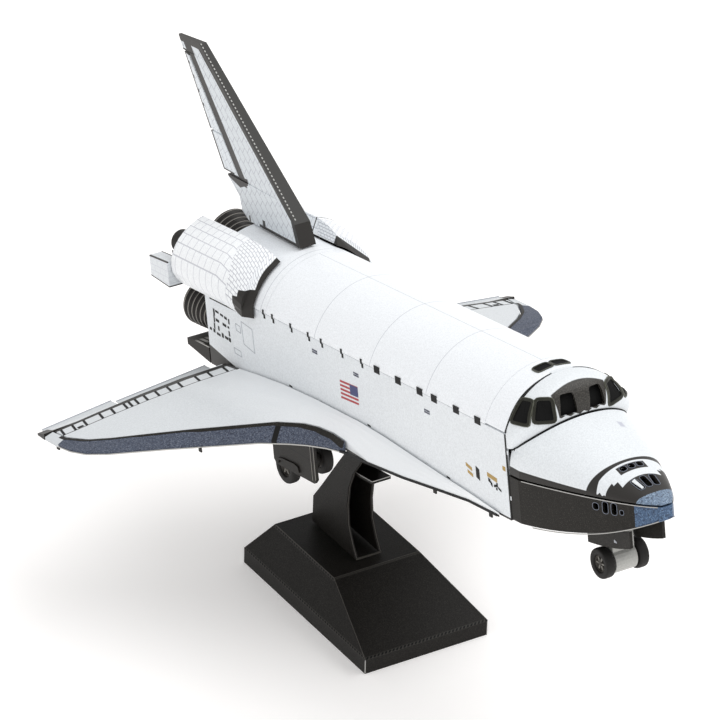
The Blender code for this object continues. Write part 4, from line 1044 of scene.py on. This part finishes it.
class SHUTTLE_OT_nose(bpy.types.Operator):
    """Nose cone and tray prints with jet rims"""

    bl_idname = "shuttle.nose"
    bl_label = "Nose"

    def execute(self, context):
        """Dresses the nose shells and adds rims and bright edges."""
        sheet = ink("cone_print", "white")
        x, z = sheet.x, sheet.z
        across = abs(sheet.y)
        # dark: a strip along the waist, a thin arch, a ragged foot, the ground of the aft jets, the
        # zone round the front jets, and steps at its ends
        strip = (z + x * 0.048 - (6.95 + 0.048 * 32.5)).top(x - 46.0)
        arch = (45.78 - across * across * 0.0208 - x).top(x - 46.24 - (across - 4.6).top(0.0) * 0.5)
        jag = sheet.noise(2.2, 0.0, (1.0, 0.0, 0.0)) * 0.9
        waist = (z - jag - 5.75).top(45.5 - x)
        holes = sheet.box(x, 46.55, 47.85, sheet.y, -2.15, 2.15)
        zone = (49.08 + across * across * 0.038) - x
        steps = sheet.box(x, 48.35, 50.0, across, 3.05, 6.0).low(sheet.box(x, 47.9, 49.0, across, 3.7, 6.0))
        for shape in (strip, arch, waist, holes, zone, steps):
            sheet.cover(shape, (0.016, 0.014, 0.012))
        # painted light: the cap's slate is lifted well above the wing's, a painted highlight on the nose cap
        sheet.slate(52.62 - across * across * 0.06 - x, lift=(2.2, 2.6, 2.6))
        lilac = sheet.box(x, 38.55, 39.5, sheet.y, 3.6, 4.4)
        sheet.cover(lilac, (0.42, 0.43, 0.52), soft=0.3, strength=0.7)
        dress(["nose_upper_shell"], sheet.done())
        tray = charcoal_ground("tray_print")
        # painted light: the tray's slate is lifted lighter and bluer than the wing's
        tray.slate(51.8 - tray.x, lift=(0.95, 1.35, 1.65))
        dress(["nose_lower_shell"], tray.done(0.1))
        self.make_rims()
        self.make_edges()
        return {"FINISHED"}

    def rim(self, point, normal, up, wide, tall, radius, growth, node):
        """A thin frame round one jet opening; its corner radius grows with the frame's margin."""
        normal = unit(normal)
        rings = [in_plane(point + normal * HOVER, normal, up,
                          trapezium(wide + 2 * m, wide + 2 * m, tall + 2 * m, radius + growth * m))
                 for m in (0.09, 0.03)]
        return band(*rings, -normal, [node], 0.05)

    def make_rims(self):
        """Pale rims round the jet openings, a dark strip of painted shade under the upper ones, and the bent
        flap in the starboard slot.
        """
        rims = []
        for x, half_length, half_width in UPPER_JETS:
            for share in (1, 0, -1):
                angle = math.asin(share * JET_SPACING / float(nose_half_width(x)))
                rims.append(self.rim(cone_point(x, angle), (0.45, 0.5 * share, 1.0), (1, 0, 0),
                                     2 * half_width, 2 * half_length, 0.9 * half_width, 0.9,
                                     "nose_upper_shell"))
        for _, sign in SIDES:
            for x, z, wide, tall in LOWER_JETS:
                lean = float(nose_half_width(x - 1) - nose_half_width(x + 1)) / 2
                rims.append(self.rim(xyz(x, sign * nose_half_width(x), z), (lean, sign, 0.0), (0, 0, 1),
                                     wide, tall, 0.45 * min(wide, tall), 1.0, "nose_lower_shell"))
        piece("jet_rims", joined(rims), "rim_pale")
        # painted shade: a dark strip under the upper jets' openings, where only the shaded inside shows
        dark = cone_point(np.linspace(46.2, 51.8, 12), 0.0, 1.4)
        rods("jet_dark", [dark], "dark_hollow", width=4.2, depth=0.25)
        shape = np.array(((-0.25, -0.95), (0.25, -0.95), (0.15, 0.95), (-0.15, 0.95)))
        centre = cone_point(50.45, -0.33) + (0, -0.1, 0.02)
        grid = bilinear(in_plane(centre, (0.45, -0.5, 1), (1, 0, 0), shape)[None])
        piece("slot_flap", slabs(grid + (0, 0, 0.10), grid), "white_print")

    def make_edges(self):
        """Bright cut edges along the tray's rim and its belly fold, and tabs at its aft seam."""
        x = np.linspace(34.6, 54.6, 61)
        paths = []
        for _, sign in SIDES:
            y = sign * nose_half_width(x)
            paths.append(xyz(x, y * 1.002, WAIST_Z - SEAM / 2))
            paths.append(xyz(x, y * 1.002, chin_z(x) + CHIN_FOLD * 0.4)[4:])
        rods("tray_bright_edges", paths, "bare_cut_edge", width=0.13, depth=0.10)
        tabs = [(31.75, z, 0.55, 0.55, 0.0) for z in (2.3, 8.8)]
        for side, sign in SIDES:
            lay("seam_tabs_" + side, bilinear(bars(tabs, sign * (HALF_WIDTH + HOVER))), (0, -sign, 0),
                ["fuselage_sides_and_belly", "nose_lower_shell"], "white_print")


class SHUTTLE_OT_wings(bpy.types.Operator):
    """Wing, elevon and leading strip prints, bright edges and fold tabs"""

    bl_idname = "shuttle.wings"
    bl_label = "Wings"

    def execute(self, context):
        """Dresses the wings and adds the rungs along the hinge line, edges and tabs."""
        # painted shade and light: the wing's ground is a darker copy of the white print, and the first cover
        # turns it lighter towards the root, painted light against the fuselage's shadow
        sheet = ink("wing_print", (0.64, 0.665, 0.685))
        across, x = abs(sheet.y), sheet.x
        sheet.cover(across - 14.0, (0.92, 0.94, 0.96), soft=11.0)
        # dark: the band along the hinge, a line ahead of it, the tip's corner, a mark at the root,
        # and the turned-down edge
        lip = sheet.z + across * WING_DROOP - (WING_EDGE_Z + WING_DROOP * HALF_WIDTH + 0.10)
        hinge = x + across * 0.035 + 42.11
        fore = abs(x + across * 0.06 + 39.36) - 0.10
        corner = (37.9 - across).top(x + 44.3)
        root = sheet.box(x, -44.0, -39.6, across, 9.6, 10.3)
        for shape in (abs(hinge + 0.60) - 0.60, fore.top(9.0 - across), corner, root, lip):
            sheet.cover(shape, DARK)
        print_white = sheet.done()
        dress(["wing_port", "wing_starboard", "elevon_inboard_port", "elevon_inboard_starboard",
               "elevon_outboard_port", "elevon_outboard_starboard"], print_white)
        blue = ink("slate_print", "slate", roughness=0.5)
        blue.slate(blue.x - NOSE_TIP_X)
        seam = abs(blue.edge(blue.x, abs(blue.y), (-17.9, 15.8), (-15.9, 18.6))) - 0.42
        tip = blue.x + 41.3 - (abs(blue.y) - 36.0) * 0.35
        blue.cover(seam, (0.003, 0.003, 0.003))
        blue.cover(tip, (0.60, 0.625, 0.645))
        dress(["wing_leading_edge_port", "wing_leading_edge_starboard"], blue.done(0.1))
        for side, sign in SIDES:
            self.make_rungs(side, sign)
            self.make_edge(side, sign)
        return {"FINISHED"}

    def make_rungs(self, side, sign):
        """Short dark bars between the hinge band and the line ahead, and the elevons' thin lips."""
        y = np.array((11.2, 13.7, 15.75, 18.5, 20.3, 22.2, 24.05, 25.5, 26.5, 27.3, 29.3, 31.2, 33.75, 35.55,
                      37.35))
        rear, fore = -42.11 - 0.035 * y, -39.36 - 0.06 * y
        rows = np.stack([(rear + fore) / 2, sign * y, fore - rear, np.full_like(y, 0.36),
                         np.full_like(y, 0.22 * sign)], axis=1)
        rows = np.concatenate([rows, [(-41.85, sign * 34.8, 0.5, 0.9, 0.0)]])
        lay("hinge_rungs_" + side, bilinear(bars(rows, OVERHEAD, flat)), (0, 0, -1),
            ["wing_" + side, "elevon_outboard_" + side, "wing_leading_edge_" + side], "dark_print",
            lift=0.04)
        # columns: half span and x of the trailing edge at either end
        spans = ((10.75, -48.2, 26.1, -47.2), (26.5, -48.0, 38.4, -46.8))
        plates, rims = [], []
        for y0, x0, y1, x1 in spans:
            share = np.linspace(0, 1, 7)
            span = y0 + (y1 - y0) * share
            trail = x0 + (x1 - x0) * share
            level = wing_edge_z(span)
            top = np.stack([xyz(-46.0, sign * span, level + 0.17), xyz(trail, sign * span, level + 0.10)])
            plates.append(slabs(top[None], top[None] - (0, 0, 0.14)))
            rims.append(rod(top[1], 0.14, 0.17))
        piece("elevon_lips_" + side, joined(plates), "lip_print")
        piece("elevon_lip_edges_" + side, joined(rims), "grey_line")

    def make_edge(self, side, sign):
        """Charcoal border on the leading strip, bright steel under its edge, and fold tabs."""
        x = np.linspace(-6.1, -41.6, 61)
        inner = wing_edge(x, 1) + SEAM + 0.02
        wide = np.minimum(0.5, wing_edge(x, 2) - inner - 0.1)
        grid = np.stack([flat(x, sign * y, OVERHEAD) for y in (inner, inner + wide)])[None]
        lay("leading_border_" + side, grid, (0, 0, -1), ["wing_leading_edge_" + side], "charcoal_print",
            lift=0.04)
        x = np.linspace(-6.5, -43.7, 81)
        reach = np.minimum(wing_edge(x, 2), WING_TIP_Y - 0.12)
        path = xyz(x, sign * (reach + 0.03), wing_edge_z(reach) - 0.14)
        rods("edge_steel_" + side, [path], "bare_cut_edge", width=0.12, depth=0.16)
        x = np.linspace(28.6, -6.5, 61)
        reach = wing_edge(x, 2)
        path = xyz(x, sign * reach, wing_edge_z(reach) - 0.05)
        rods("strake_edge_" + side, [path], "dark_print", width=0.30, depth=0.34)
        tabs = []
        for at, y in ((-23.6, 25.8), (14.5, 10.9), (27.0, 9.9), (-40.7, 39.2)):
            z = float(wing_edge_z(y))
            tabs.append(rod([(at, sign * y, z - 0.2), (at, sign * y, z - 0.8)], 0.2, 0.7, (1, 0, 0)))
        piece("edge_tabs_" + side, joined(tabs), "charcoal_print")


class SHUTTLE_OT_fin(bpy.types.Operator):
    """Fin and rudder prints"""

    bl_idname = "shuttle.fin"
    bl_label = "Fin"

    def execute(self, context):
        """Dresses the fin and the two rudder panels."""
        # painted shade: the fin's ground is a darker copy of the white print
        sheet = ink("fin_print", (0.68, 0.72, 0.75))
        x, z = sheet.x, sheet.z
        along, across = x * 0.755 - z * 0.658, x * 0.658 + z * 0.755
        sheet.tiles(along, across, 1.9, 1.35, 0.075, colour=(0.36, 0.37, 0.42))
        front = sheet.edge(x, z, (-59.28, 41.82), (-35.68, 22.09))
        toe = (z - 22.3).top(z * -0.3 - x + (22.09 * 0.3 - 36.1))
        base = (z - 18.72).top(-46.2 - x)
        cap = 41.78 - z
        head = sheet.box(x, -66.0, -62.0, z, 40.3, 40.85)
        hinge = sheet.edge(x, z, HINGE_FOOT, HINGE_HEAD)
        hinge_line = (abs(hinge - 0.80) - 0.95).top(23.4 - z)
        foot = sheet.polygon(x, z, ((-56.6, 24.3), (-51.2, 22.9), (-48.5, 23.9), (-48.9, 24.7)))
        tab = sheet.box(x, -45.1, -44.3, z, 18.3, 19.6).low(sheet.box(x, -49.3, -48.9, z, 18.3, 19.2))
        for shape in (front - 0.40, toe, base, cap, head, hinge_line, foot, tab):
            sheet.cover(shape, DARK)
        facet = sheet.edge(x, z, (-59.3, 42.7), (-35.0, 21.5)) - 0.04
        sheet.cover(facet, (0.010, 0.009, 0.007))
        fold = abs(sheet.y - (z - FIN_TOE_Z) * 0.0198 + 0.75) - 0.085
        dots = facet.top(fold).top(z.wave(0.42) - 0.10).top(21.8 - z)
        sheet.cover(dots, (0.42, 0.42, 0.40), soft=0.04)
        dress(["fin"], sheet.done())
        panel = ink("rudder_print", (0.74, 0.785, 0.82))
        x, z = panel.x, panel.z
        panel.tiles(z * 0.808 - x * 0.589, x * 0.808 + z * 0.589, 1.7, 1.15, 0.07, colour=FINE_TILE_GREY)
        trail = panel.edge(x, z, (-56.4, 24.4), (-64.9, 40.3))
        nicks = (trail - 0.75).top(z.wave(1.9) - 0.22).top(32.0 - z)
        for shape in (trail - 0.42, nicks, (z - 24.62).top(x + 53.0), 40.12 - z):
            panel.cover(shape, DARK)
        dress(["rudder_lower", "rudder_upper"], panel.done())
        return {"FINISHED"}


class SHUTTLE_OT_pods(bpy.types.Operator):
    """Pod and jet box prints"""

    bl_idname = "shuttle.pods"
    bl_label = "Pods"

    def execute(self, context):
        """Dresses the pods: large tiles behind the crease, small bricks ahead, dark fronts."""
        for side, _ in SIDES:
            sheet = ink("pod_print_" + side, (0.92, 0.94, 0.965))
            x, z = sheet.x, sheet.z
            arc = sheet.round_angle()
            lean = z - TOP_CENTRE_Z
            radius = (sheet.y * sheet.y + lean * lean).calc("SQRT", sheet.y * sheet.y + lean * lean)
            crease = x + 38.5 + (z - 15.4).top(0.0) * 0.5
            sheet.tiles(x, arc + radius, 1.75, 1.25, 0.07, crease, (0.50, 0.51, 0.56), 0.85)
            sheet.tiles(x, arc + radius, 0.9, 0.42, 0.06, -crease, FINE_TILE_GREY)
            shapes = [-34.35 - x, (z - 10.15).top(-38.0 - x)]
            if side == "starboard":
                shapes += [sheet.box(x, front, -33.0, z, 9.0, head)
                           for front, head in ((-37.0, 13.0), (-36.1, 13.9))]
            else:
                # port: a seam line at x = -41, a dark strip on the inner side ahead of it that is painted
                # shade of the gap between pod and fuselage, and the dark front
                shapes += [abs(x + 41.0) - 0.12, (-41.0 - x).top(radius - 10.62), -34.9 - x]
            for shape in shapes:
                sheet.cover(shape, DARK)
            dress(["engine_pod_" + side], sheet.done())
        box = ink("jet_box_print", "white")
        box.tiles(box.x, box.z, 1.5, 0.95, 0.06)
        rim = box.x * 0.045 - box.z + (13.62 + 53.9 * 0.045)
        rim = rim.top(0.88 - abs(abs(box.y) - 11.1))
        box.cover(rim, DARK)
        box.cover(box.z - 10.1 + (box.x + 53.9) * 0.09, DARK)
        dress(["jet_box_port", "jet_box_starboard"], box.done())
        spikes = [rod([(-54.4, sign * 10.6, 13.7), (-54.7, sign * 10.6, 15.0)], 0.2, 0.5, (1, 0, 0))
                  for _, sign in SIDES]
        piece("jet_box_tabs", joined(spikes), "dark_print")
        return {"FINISHED"}


class SHUTTLE_OT_engines(bpy.types.Operator):
    """Ribbed bells and the body flap"""

    bl_idname = "shuttle.engines"
    bl_label = "Engines"

    def execute(self, context):
        """Builds the bells as turned profiles and dresses the body flap."""
        # columns: name, y and z of the seat, cant in degrees
        bells = (("upper", 0.0, 12.6, 16.0), ("lower_port", 5.1, 4.1, 10.0),
                 ("lower_starboard", -5.1, 4.1, 10.0))
        for name, y, z, cant in bells:
            turn = math.radians(cant)
            seat = (TAIL_X - SEAM - 1.6 * math.sin(turn), y, z)
            self.make_bell(name, seat, (-math.cos(turn), 0, math.sin(turn)))
        self.make_orbital()
        flap = charcoal_ground("flap_print")
        dots = (abs(flap.z - 1.42) - 0.07).top(flap.y.wave(0.9) - 0.27)
        flap.cover(dots, (0.45, 0.44, 0.42))
        dress(["body_flap"], flap.done(0.1))
        y = np.linspace(-9.3, 9.3, 5)
        rods("flap_bright_edge", [xyz(-48.86, y, 1.6)], "bare_cut_edge", width=0.1, depth=0.1)
        return {"FINISHED"}

    def make_bell(self, name, seat, axis):
        """A ribbed bell, radius 1.6 + 2.0 t^0.62 mm over its 8 mm, and a bright ring on each rib.

        Ribs are the square root of a half cosine wave, nine along the length.
        """
        length, throat, mouth, wall, rib, count = 8.0, 1.6, 3.6, 0.5, 0.18, 9
        t = np.linspace(0, 1, 91)
        wave = np.sqrt(0.5 - 0.5 * np.cos(2 * math.pi * count * t))
        outer = np.stack([length * t, throat + (mouth - throat) * t ** 0.62 + rib * wave], axis=1)
        back = np.linspace(1, 0.02, 31)
        inner = np.stack([length * back - 0.02, throat + (mouth - throat) * back ** 0.62 - wall], axis=1)
        piece("bell_" + name, turned(np.concatenate([outer, inner]), seat, axis, sides=72, close=True),
              "bell_dark", smooth_deg=50, stands_for=["main_engine_" + name])
        crest = (np.arange(count) + 0.5) / count
        rings = []
        for at, radius in zip(length * crest, throat + (mouth - throat) * crest ** 0.62 + rib):
            profile = [(at - 0.07, radius - 0.06), (at + 0.07, radius - 0.06), (at + 0.05, radius + 0.03),
                       (at - 0.05, radius + 0.03)]
            rings.append(turned(profile, seat, axis, sides=72, close=True))
        piece("bell_rings_" + name, joined(rings), "ring_steel")

    def make_orbital(self):
        """Smooth orbital nozzles, radius 0.9 + 0.85 t^0.62 mm over their 3 mm."""
        t = np.linspace(0, 1, 25)
        outer = np.stack([3.0 * t, 0.9 + 0.85 * t ** 0.62], axis=1)
        back = np.linspace(1, 0.03, 17)
        inner = np.stack([3.0 * back - 0.02, 0.5 + 0.85 * back ** 0.62], axis=1)
        profile = np.concatenate([outer, inner])
        for side, sign in SIDES:
            nozzle = turned(profile, (-53.9, sign * 7.9, 15.2), (-1, 0, 0), sides=48, close=True)
            piece("orbital_nozzle_" + side, nozzle, "bell_dark", smooth_deg=50,
                  stands_for=["orbital_engine_" + side])


class SHUTTLE_OT_gear(bpy.types.Operator):
    """Landing gear"""

    bl_idname = "shuttle.gear"
    bl_label = "Landing gear"

    def execute(self, context):
        """Builds the wheels and dresses the legs and doors."""
        door = charcoal_ground("door_print")
        groove = abs(door.z + door.x * 0.03 + 3.1) - 0.10
        second = abs(door.z + door.x * 0.03 + 4.9) - 0.08
        for shape in (groove, second):
            door.cover(shape.top(9.0 - abs(door.y)), (0.004, 0.004, 0.004))
        dress([name for name in NODES if "gear_door" in name], door.done(0.1))
        dress(["main_gear_leg_port", "main_gear_leg_starboard"], "charcoal_print")
        dress(["nose_gear_leg"], "leg_satin")
        self.make_wheels("nose_wheels", "nose_wheel_pair", (42.6, 0.0, -5.55), 2.15)
        for side, sign in SIDES:
            self.make_wheels("main_wheels_" + side, "main_wheel_pair_" + side,
                             (-23.2, sign * 9.7, -8.6), 2.5)
            self.make_door(side, sign)
        return {"FINISHED"}

    def make_wheels(self, node, body, axle, radius):
        """Two rounded tyres, their dished hubs with spokes, and the axle, all turning together.

        A tyre's section is a superellipse of power 4 round a point between bore and tread.
        """
        turn = np.linspace(0, 2 * math.pi, 33)[:-1]
        bore = 0.56 * radius
        half, tall = 0.725, (radius - bore) / 2
        c, s = np.cos(turn), np.sin(turn)
        section = np.stack([half * np.sign(c) * np.abs(c) ** 0.5,
                            bore + tall + tall * np.sign(s) * np.abs(s) ** 0.5], axis=1)
        hub = np.array(((-0.55, 0.2), (-0.55, bore + 0.06), (0.42, bore + 0.06), (0.50, 0.9 * bore),
                        (0.22, 0.78 * bore), (0.18, 0.36 * bore), (0.46, 0.26 * bore), (0.50, 0.1)))
        tyres, hubs, spokes = [], [], []
        for sign in (-1, 1):
            at = np.array(axle) + (0, sign * 2.675, 0)
            axis = (0, sign, 0)
            tyres.append(turned(section, at, axis, sides=56, close=True))
            hubs.append(turned(hub, at, axis, sides=40))
            for a in np.arange(6) * math.pi / 3:
                way = np.array((math.cos(a), 0, math.sin(a)))
                spokes.append(rod([at + way * bore * share + (0, sign * out, 0)
                                   for share, out in ((0.3, 0.36), (0.8, 0.32))], 0.2, 0.16, (0, 1, 0)))
        bar = turned([(-2.4, 0.55), (2.4, 0.55)], axle, (0, 1, 0), sides=24)
        piece(node + "_tyres", joined(tyres + [bar]), "tyre_black", body=body, smooth_deg=40,
              stands_for=[node])
        piece(node + "_hubs", joined(hubs), "hub_grey", body=body, smooth_deg=30)
        piece(node + "_spokes", joined(spokes), "spoke_grey", body=body)

    def make_door(self, side, sign):
        """Bright edges, a raised strap on the main door, and a small mark on the nose door."""
        y = sign * (14.0 + 0.03)
        edges = [[(-12.66, y, -1.8), (-12.66, y, -7.2)], [(-13.5, y, -1.9), (-13.5, y, -7.5)]]
        rods("main_door_edges_" + side, edges, "spoke_grey", width=0.07, depth=0.10, side=(1, 0, 0))
        y = sign * (14.0 + 0.1)
        strap = np.array(((-22.8, y, -7.35), (-22.5, y, -6.75), (-21.5, y, -6.6), (-18.3, y, -6.45),
                          (-17.4, y, -6.6), (-17.1, y, -7.35)))
        rods("main_door_strap_" + side, [strap], "charcoal_print", width=0.35, depth=0.25,
             side=(0, 1, 0))
        y = sign * (2.8 + 0.03)
        mark = upright(np.array([[46.0, 46.7, 46.6, 46.1]]), np.array([[-1.55, -1.5, -1.3, -1.1]]), y)
        grid = bilinear(mark)
        piece("nose_door_mark_" + side, slabs(grid + (0, sign * 0.03, 0), grid - (0, sign * 0.05, 0)),
              "grey_line")


class SHUTTLE_OT_stand(bpy.types.Operator):
    """Folded stand"""

    bl_idname = "shuttle.stand"
    bl_label = "Stand"

    def execute(self, context):
        """Dresses the stand, with painted highlights along its folds, and adds rods of painted highlight
        along its edges and its bright cut edges.
        """
        sheet = ink("stand_print", "stand", roughness=0.48, grain=1.0, over_floor=True)
        sheet.shader.inputs["Specular IOR Level"].default_value = 0.16
        run = (sheet.x + sheet.y).wave(0.62) - 0.17
        sheet.cover(0.57 - sheet.noise(5.5, 2.0), (0.017, 0.0155, 0.0135), soft=0.16, strength=0.7)
        sheet.cover(0.60 - sheet.noise(8.5, 1.0), (0.032, 0.030, 0.026), soft=0.12, strength=0.5)
        foot_folds = -sheet.box(sheet.x, -35.9, -3.1, sheet.y, -9.95, 9.95)
        top_folds = sheet.box(sheet.x, -33.1, -16.2, sheet.y, -7.35, 7.35)
        # along each fold: a lighter band, a painted highlight on the bend, and black dots within it
        for z, half, near in ((2.46, 0.13, foot_folds), (7.20, 0.10, top_folds)):
            fold = (abs(sheet.z - z) - half).top(near)
            sheet.cover(fold - 0.06, (0.035, 0.033, 0.029), soft=0.06)
            sheet.cover(fold.top(run), (0.001, 0.001, 0.001), soft=0.04)
        dress(["stand_base", "stand_neck", "stand_rest_plate"], sheet.done(0.45))
        # columns: first and last x, half width, height
        plateau, foot = (np.array([(x0, -half, z), (x1, -half, z), (x1, half, z), (x0, half, z)])
                         for x0, x1, half, z in ((-32.8, -16.5, 7.1, 7.38), (-36.2, -2.8, 10.2, 2.42)))
        # painted highlights: rods along the plateau's edges and down its slanted corners to the foot
        paths = [np.stack([a, b]) for a, b in zip(plateau, np.roll(plateau, -1, axis=0))]
        paths += [np.stack([a, b]) for a, b in zip(plateau, foot)]
        rods("stand_worn_edges", paths, "worn_edge", floor_place, width=0.09, depth=0.09)
        # painted highlights along the cheeks' front edges
        # columns: x and z of the cheeks' front edge, from the foot up to the belly
        front = np.array(((-18.7, 7.7), (-19.9, 9.6), (-21.1, 12.18), (-21.45, 15.3), (-21.1, 18.56),
                          (-20.0, 21.41), (-17.3, 25.35), (-10.7, 34.7)))
        cheeks = [xyz(front[:, 0], y, front[:, 1]) for y in (-2.0, 2.0)]
        rods("neck_worn_edges", cheeks, "worn_edge", floor_place, width=0.12, depth=0.07, side=(1, 0, 0))
        plate = [[(-21.5, y, 21.02), (-15.9, y, 22.08)] for y in (-1.52, 1.52)]
        plate.append([(-15.92, -1.5, 22.08), (-15.92, 1.5, 22.08)])
        corners = [[(x, y, 0.1), (x, y, 2.3)] for x in (-36.17, -2.83) for y in (-10.17, 10.17)]
        rods("rest_plate_edges", plate + corners, "bare_cut_edge", floor_place, width=0.1, depth=0.1,
             side=(0.01, 0, 1))
        # painted highlight along the neck's foot
        rods("neck_foot_edge", [[(-18.66, -2.1, 7.72), (-18.66, 2.1, 7.72)]], "worn_edge", floor_place,
             width=0.16, depth=0.3)
        return {"FINISHED"}


OPERATORS = (SHUTTLE_OT_stage, SHUTTLE_OT_fuselage, SHUTTLE_OT_cabin, SHUTTLE_OT_nose, SHUTTLE_OT_wings,
             SHUTTLE_OT_fin, SHUTTLE_OT_pods, SHUTTLE_OT_engines, SHUTTLE_OT_gear, SHUTTLE_OT_stand)


class SHUTTLE_PT_panel(bpy.types.Panel):
    """Panel with the model's operators, colours and stage"""

    bl_label = "Folded shuttle"
    bl_idname = "SHUTTLE_PT_panel"
    bl_space_type = "VIEW_3D"
    bl_region_type = "UI"
    bl_category = "Shuttle"

    def draw(self, context):
        """Lists the operators and the settings."""
        for operator in OPERATORS:
            self.layout.operator(operator.bl_idname)
        for name in ShuttleFinish.__annotations__:
            self.layout.prop(context.scene.shuttle_finish, name)
        for name in ShuttleStage.__annotations__:
            self.layout.prop(context.scene.shuttle_stage, name)


CLASSES = (ShuttleFinish, ShuttleStage, *OPERATORS, SHUTTLE_PT_panel)


def register():
    """Registers the classes and the settings."""
    for cls in CLASSES:
        bpy.utils.register_class(cls)
    bpy.types.Scene.shuttle_finish = PointerProperty(type=ShuttleFinish)
    bpy.types.Scene.shuttle_stage = PointerProperty(type=ShuttleStage)


def unregister():
    """Removes the settings and the classes."""
    del bpy.types.Scene.shuttle_finish
    del bpy.types.Scene.shuttle_stage
    for cls in reversed(CLASSES):
        bpy.utils.unregister_class(cls)


def main():
    """Builds everything in order."""
    register()
    for operator in OPERATORS:
        group, name = operator.bl_idname.split(".")
        getattr(getattr(bpy.ops, group), name)()


if __name__ == "__main__":
    main()
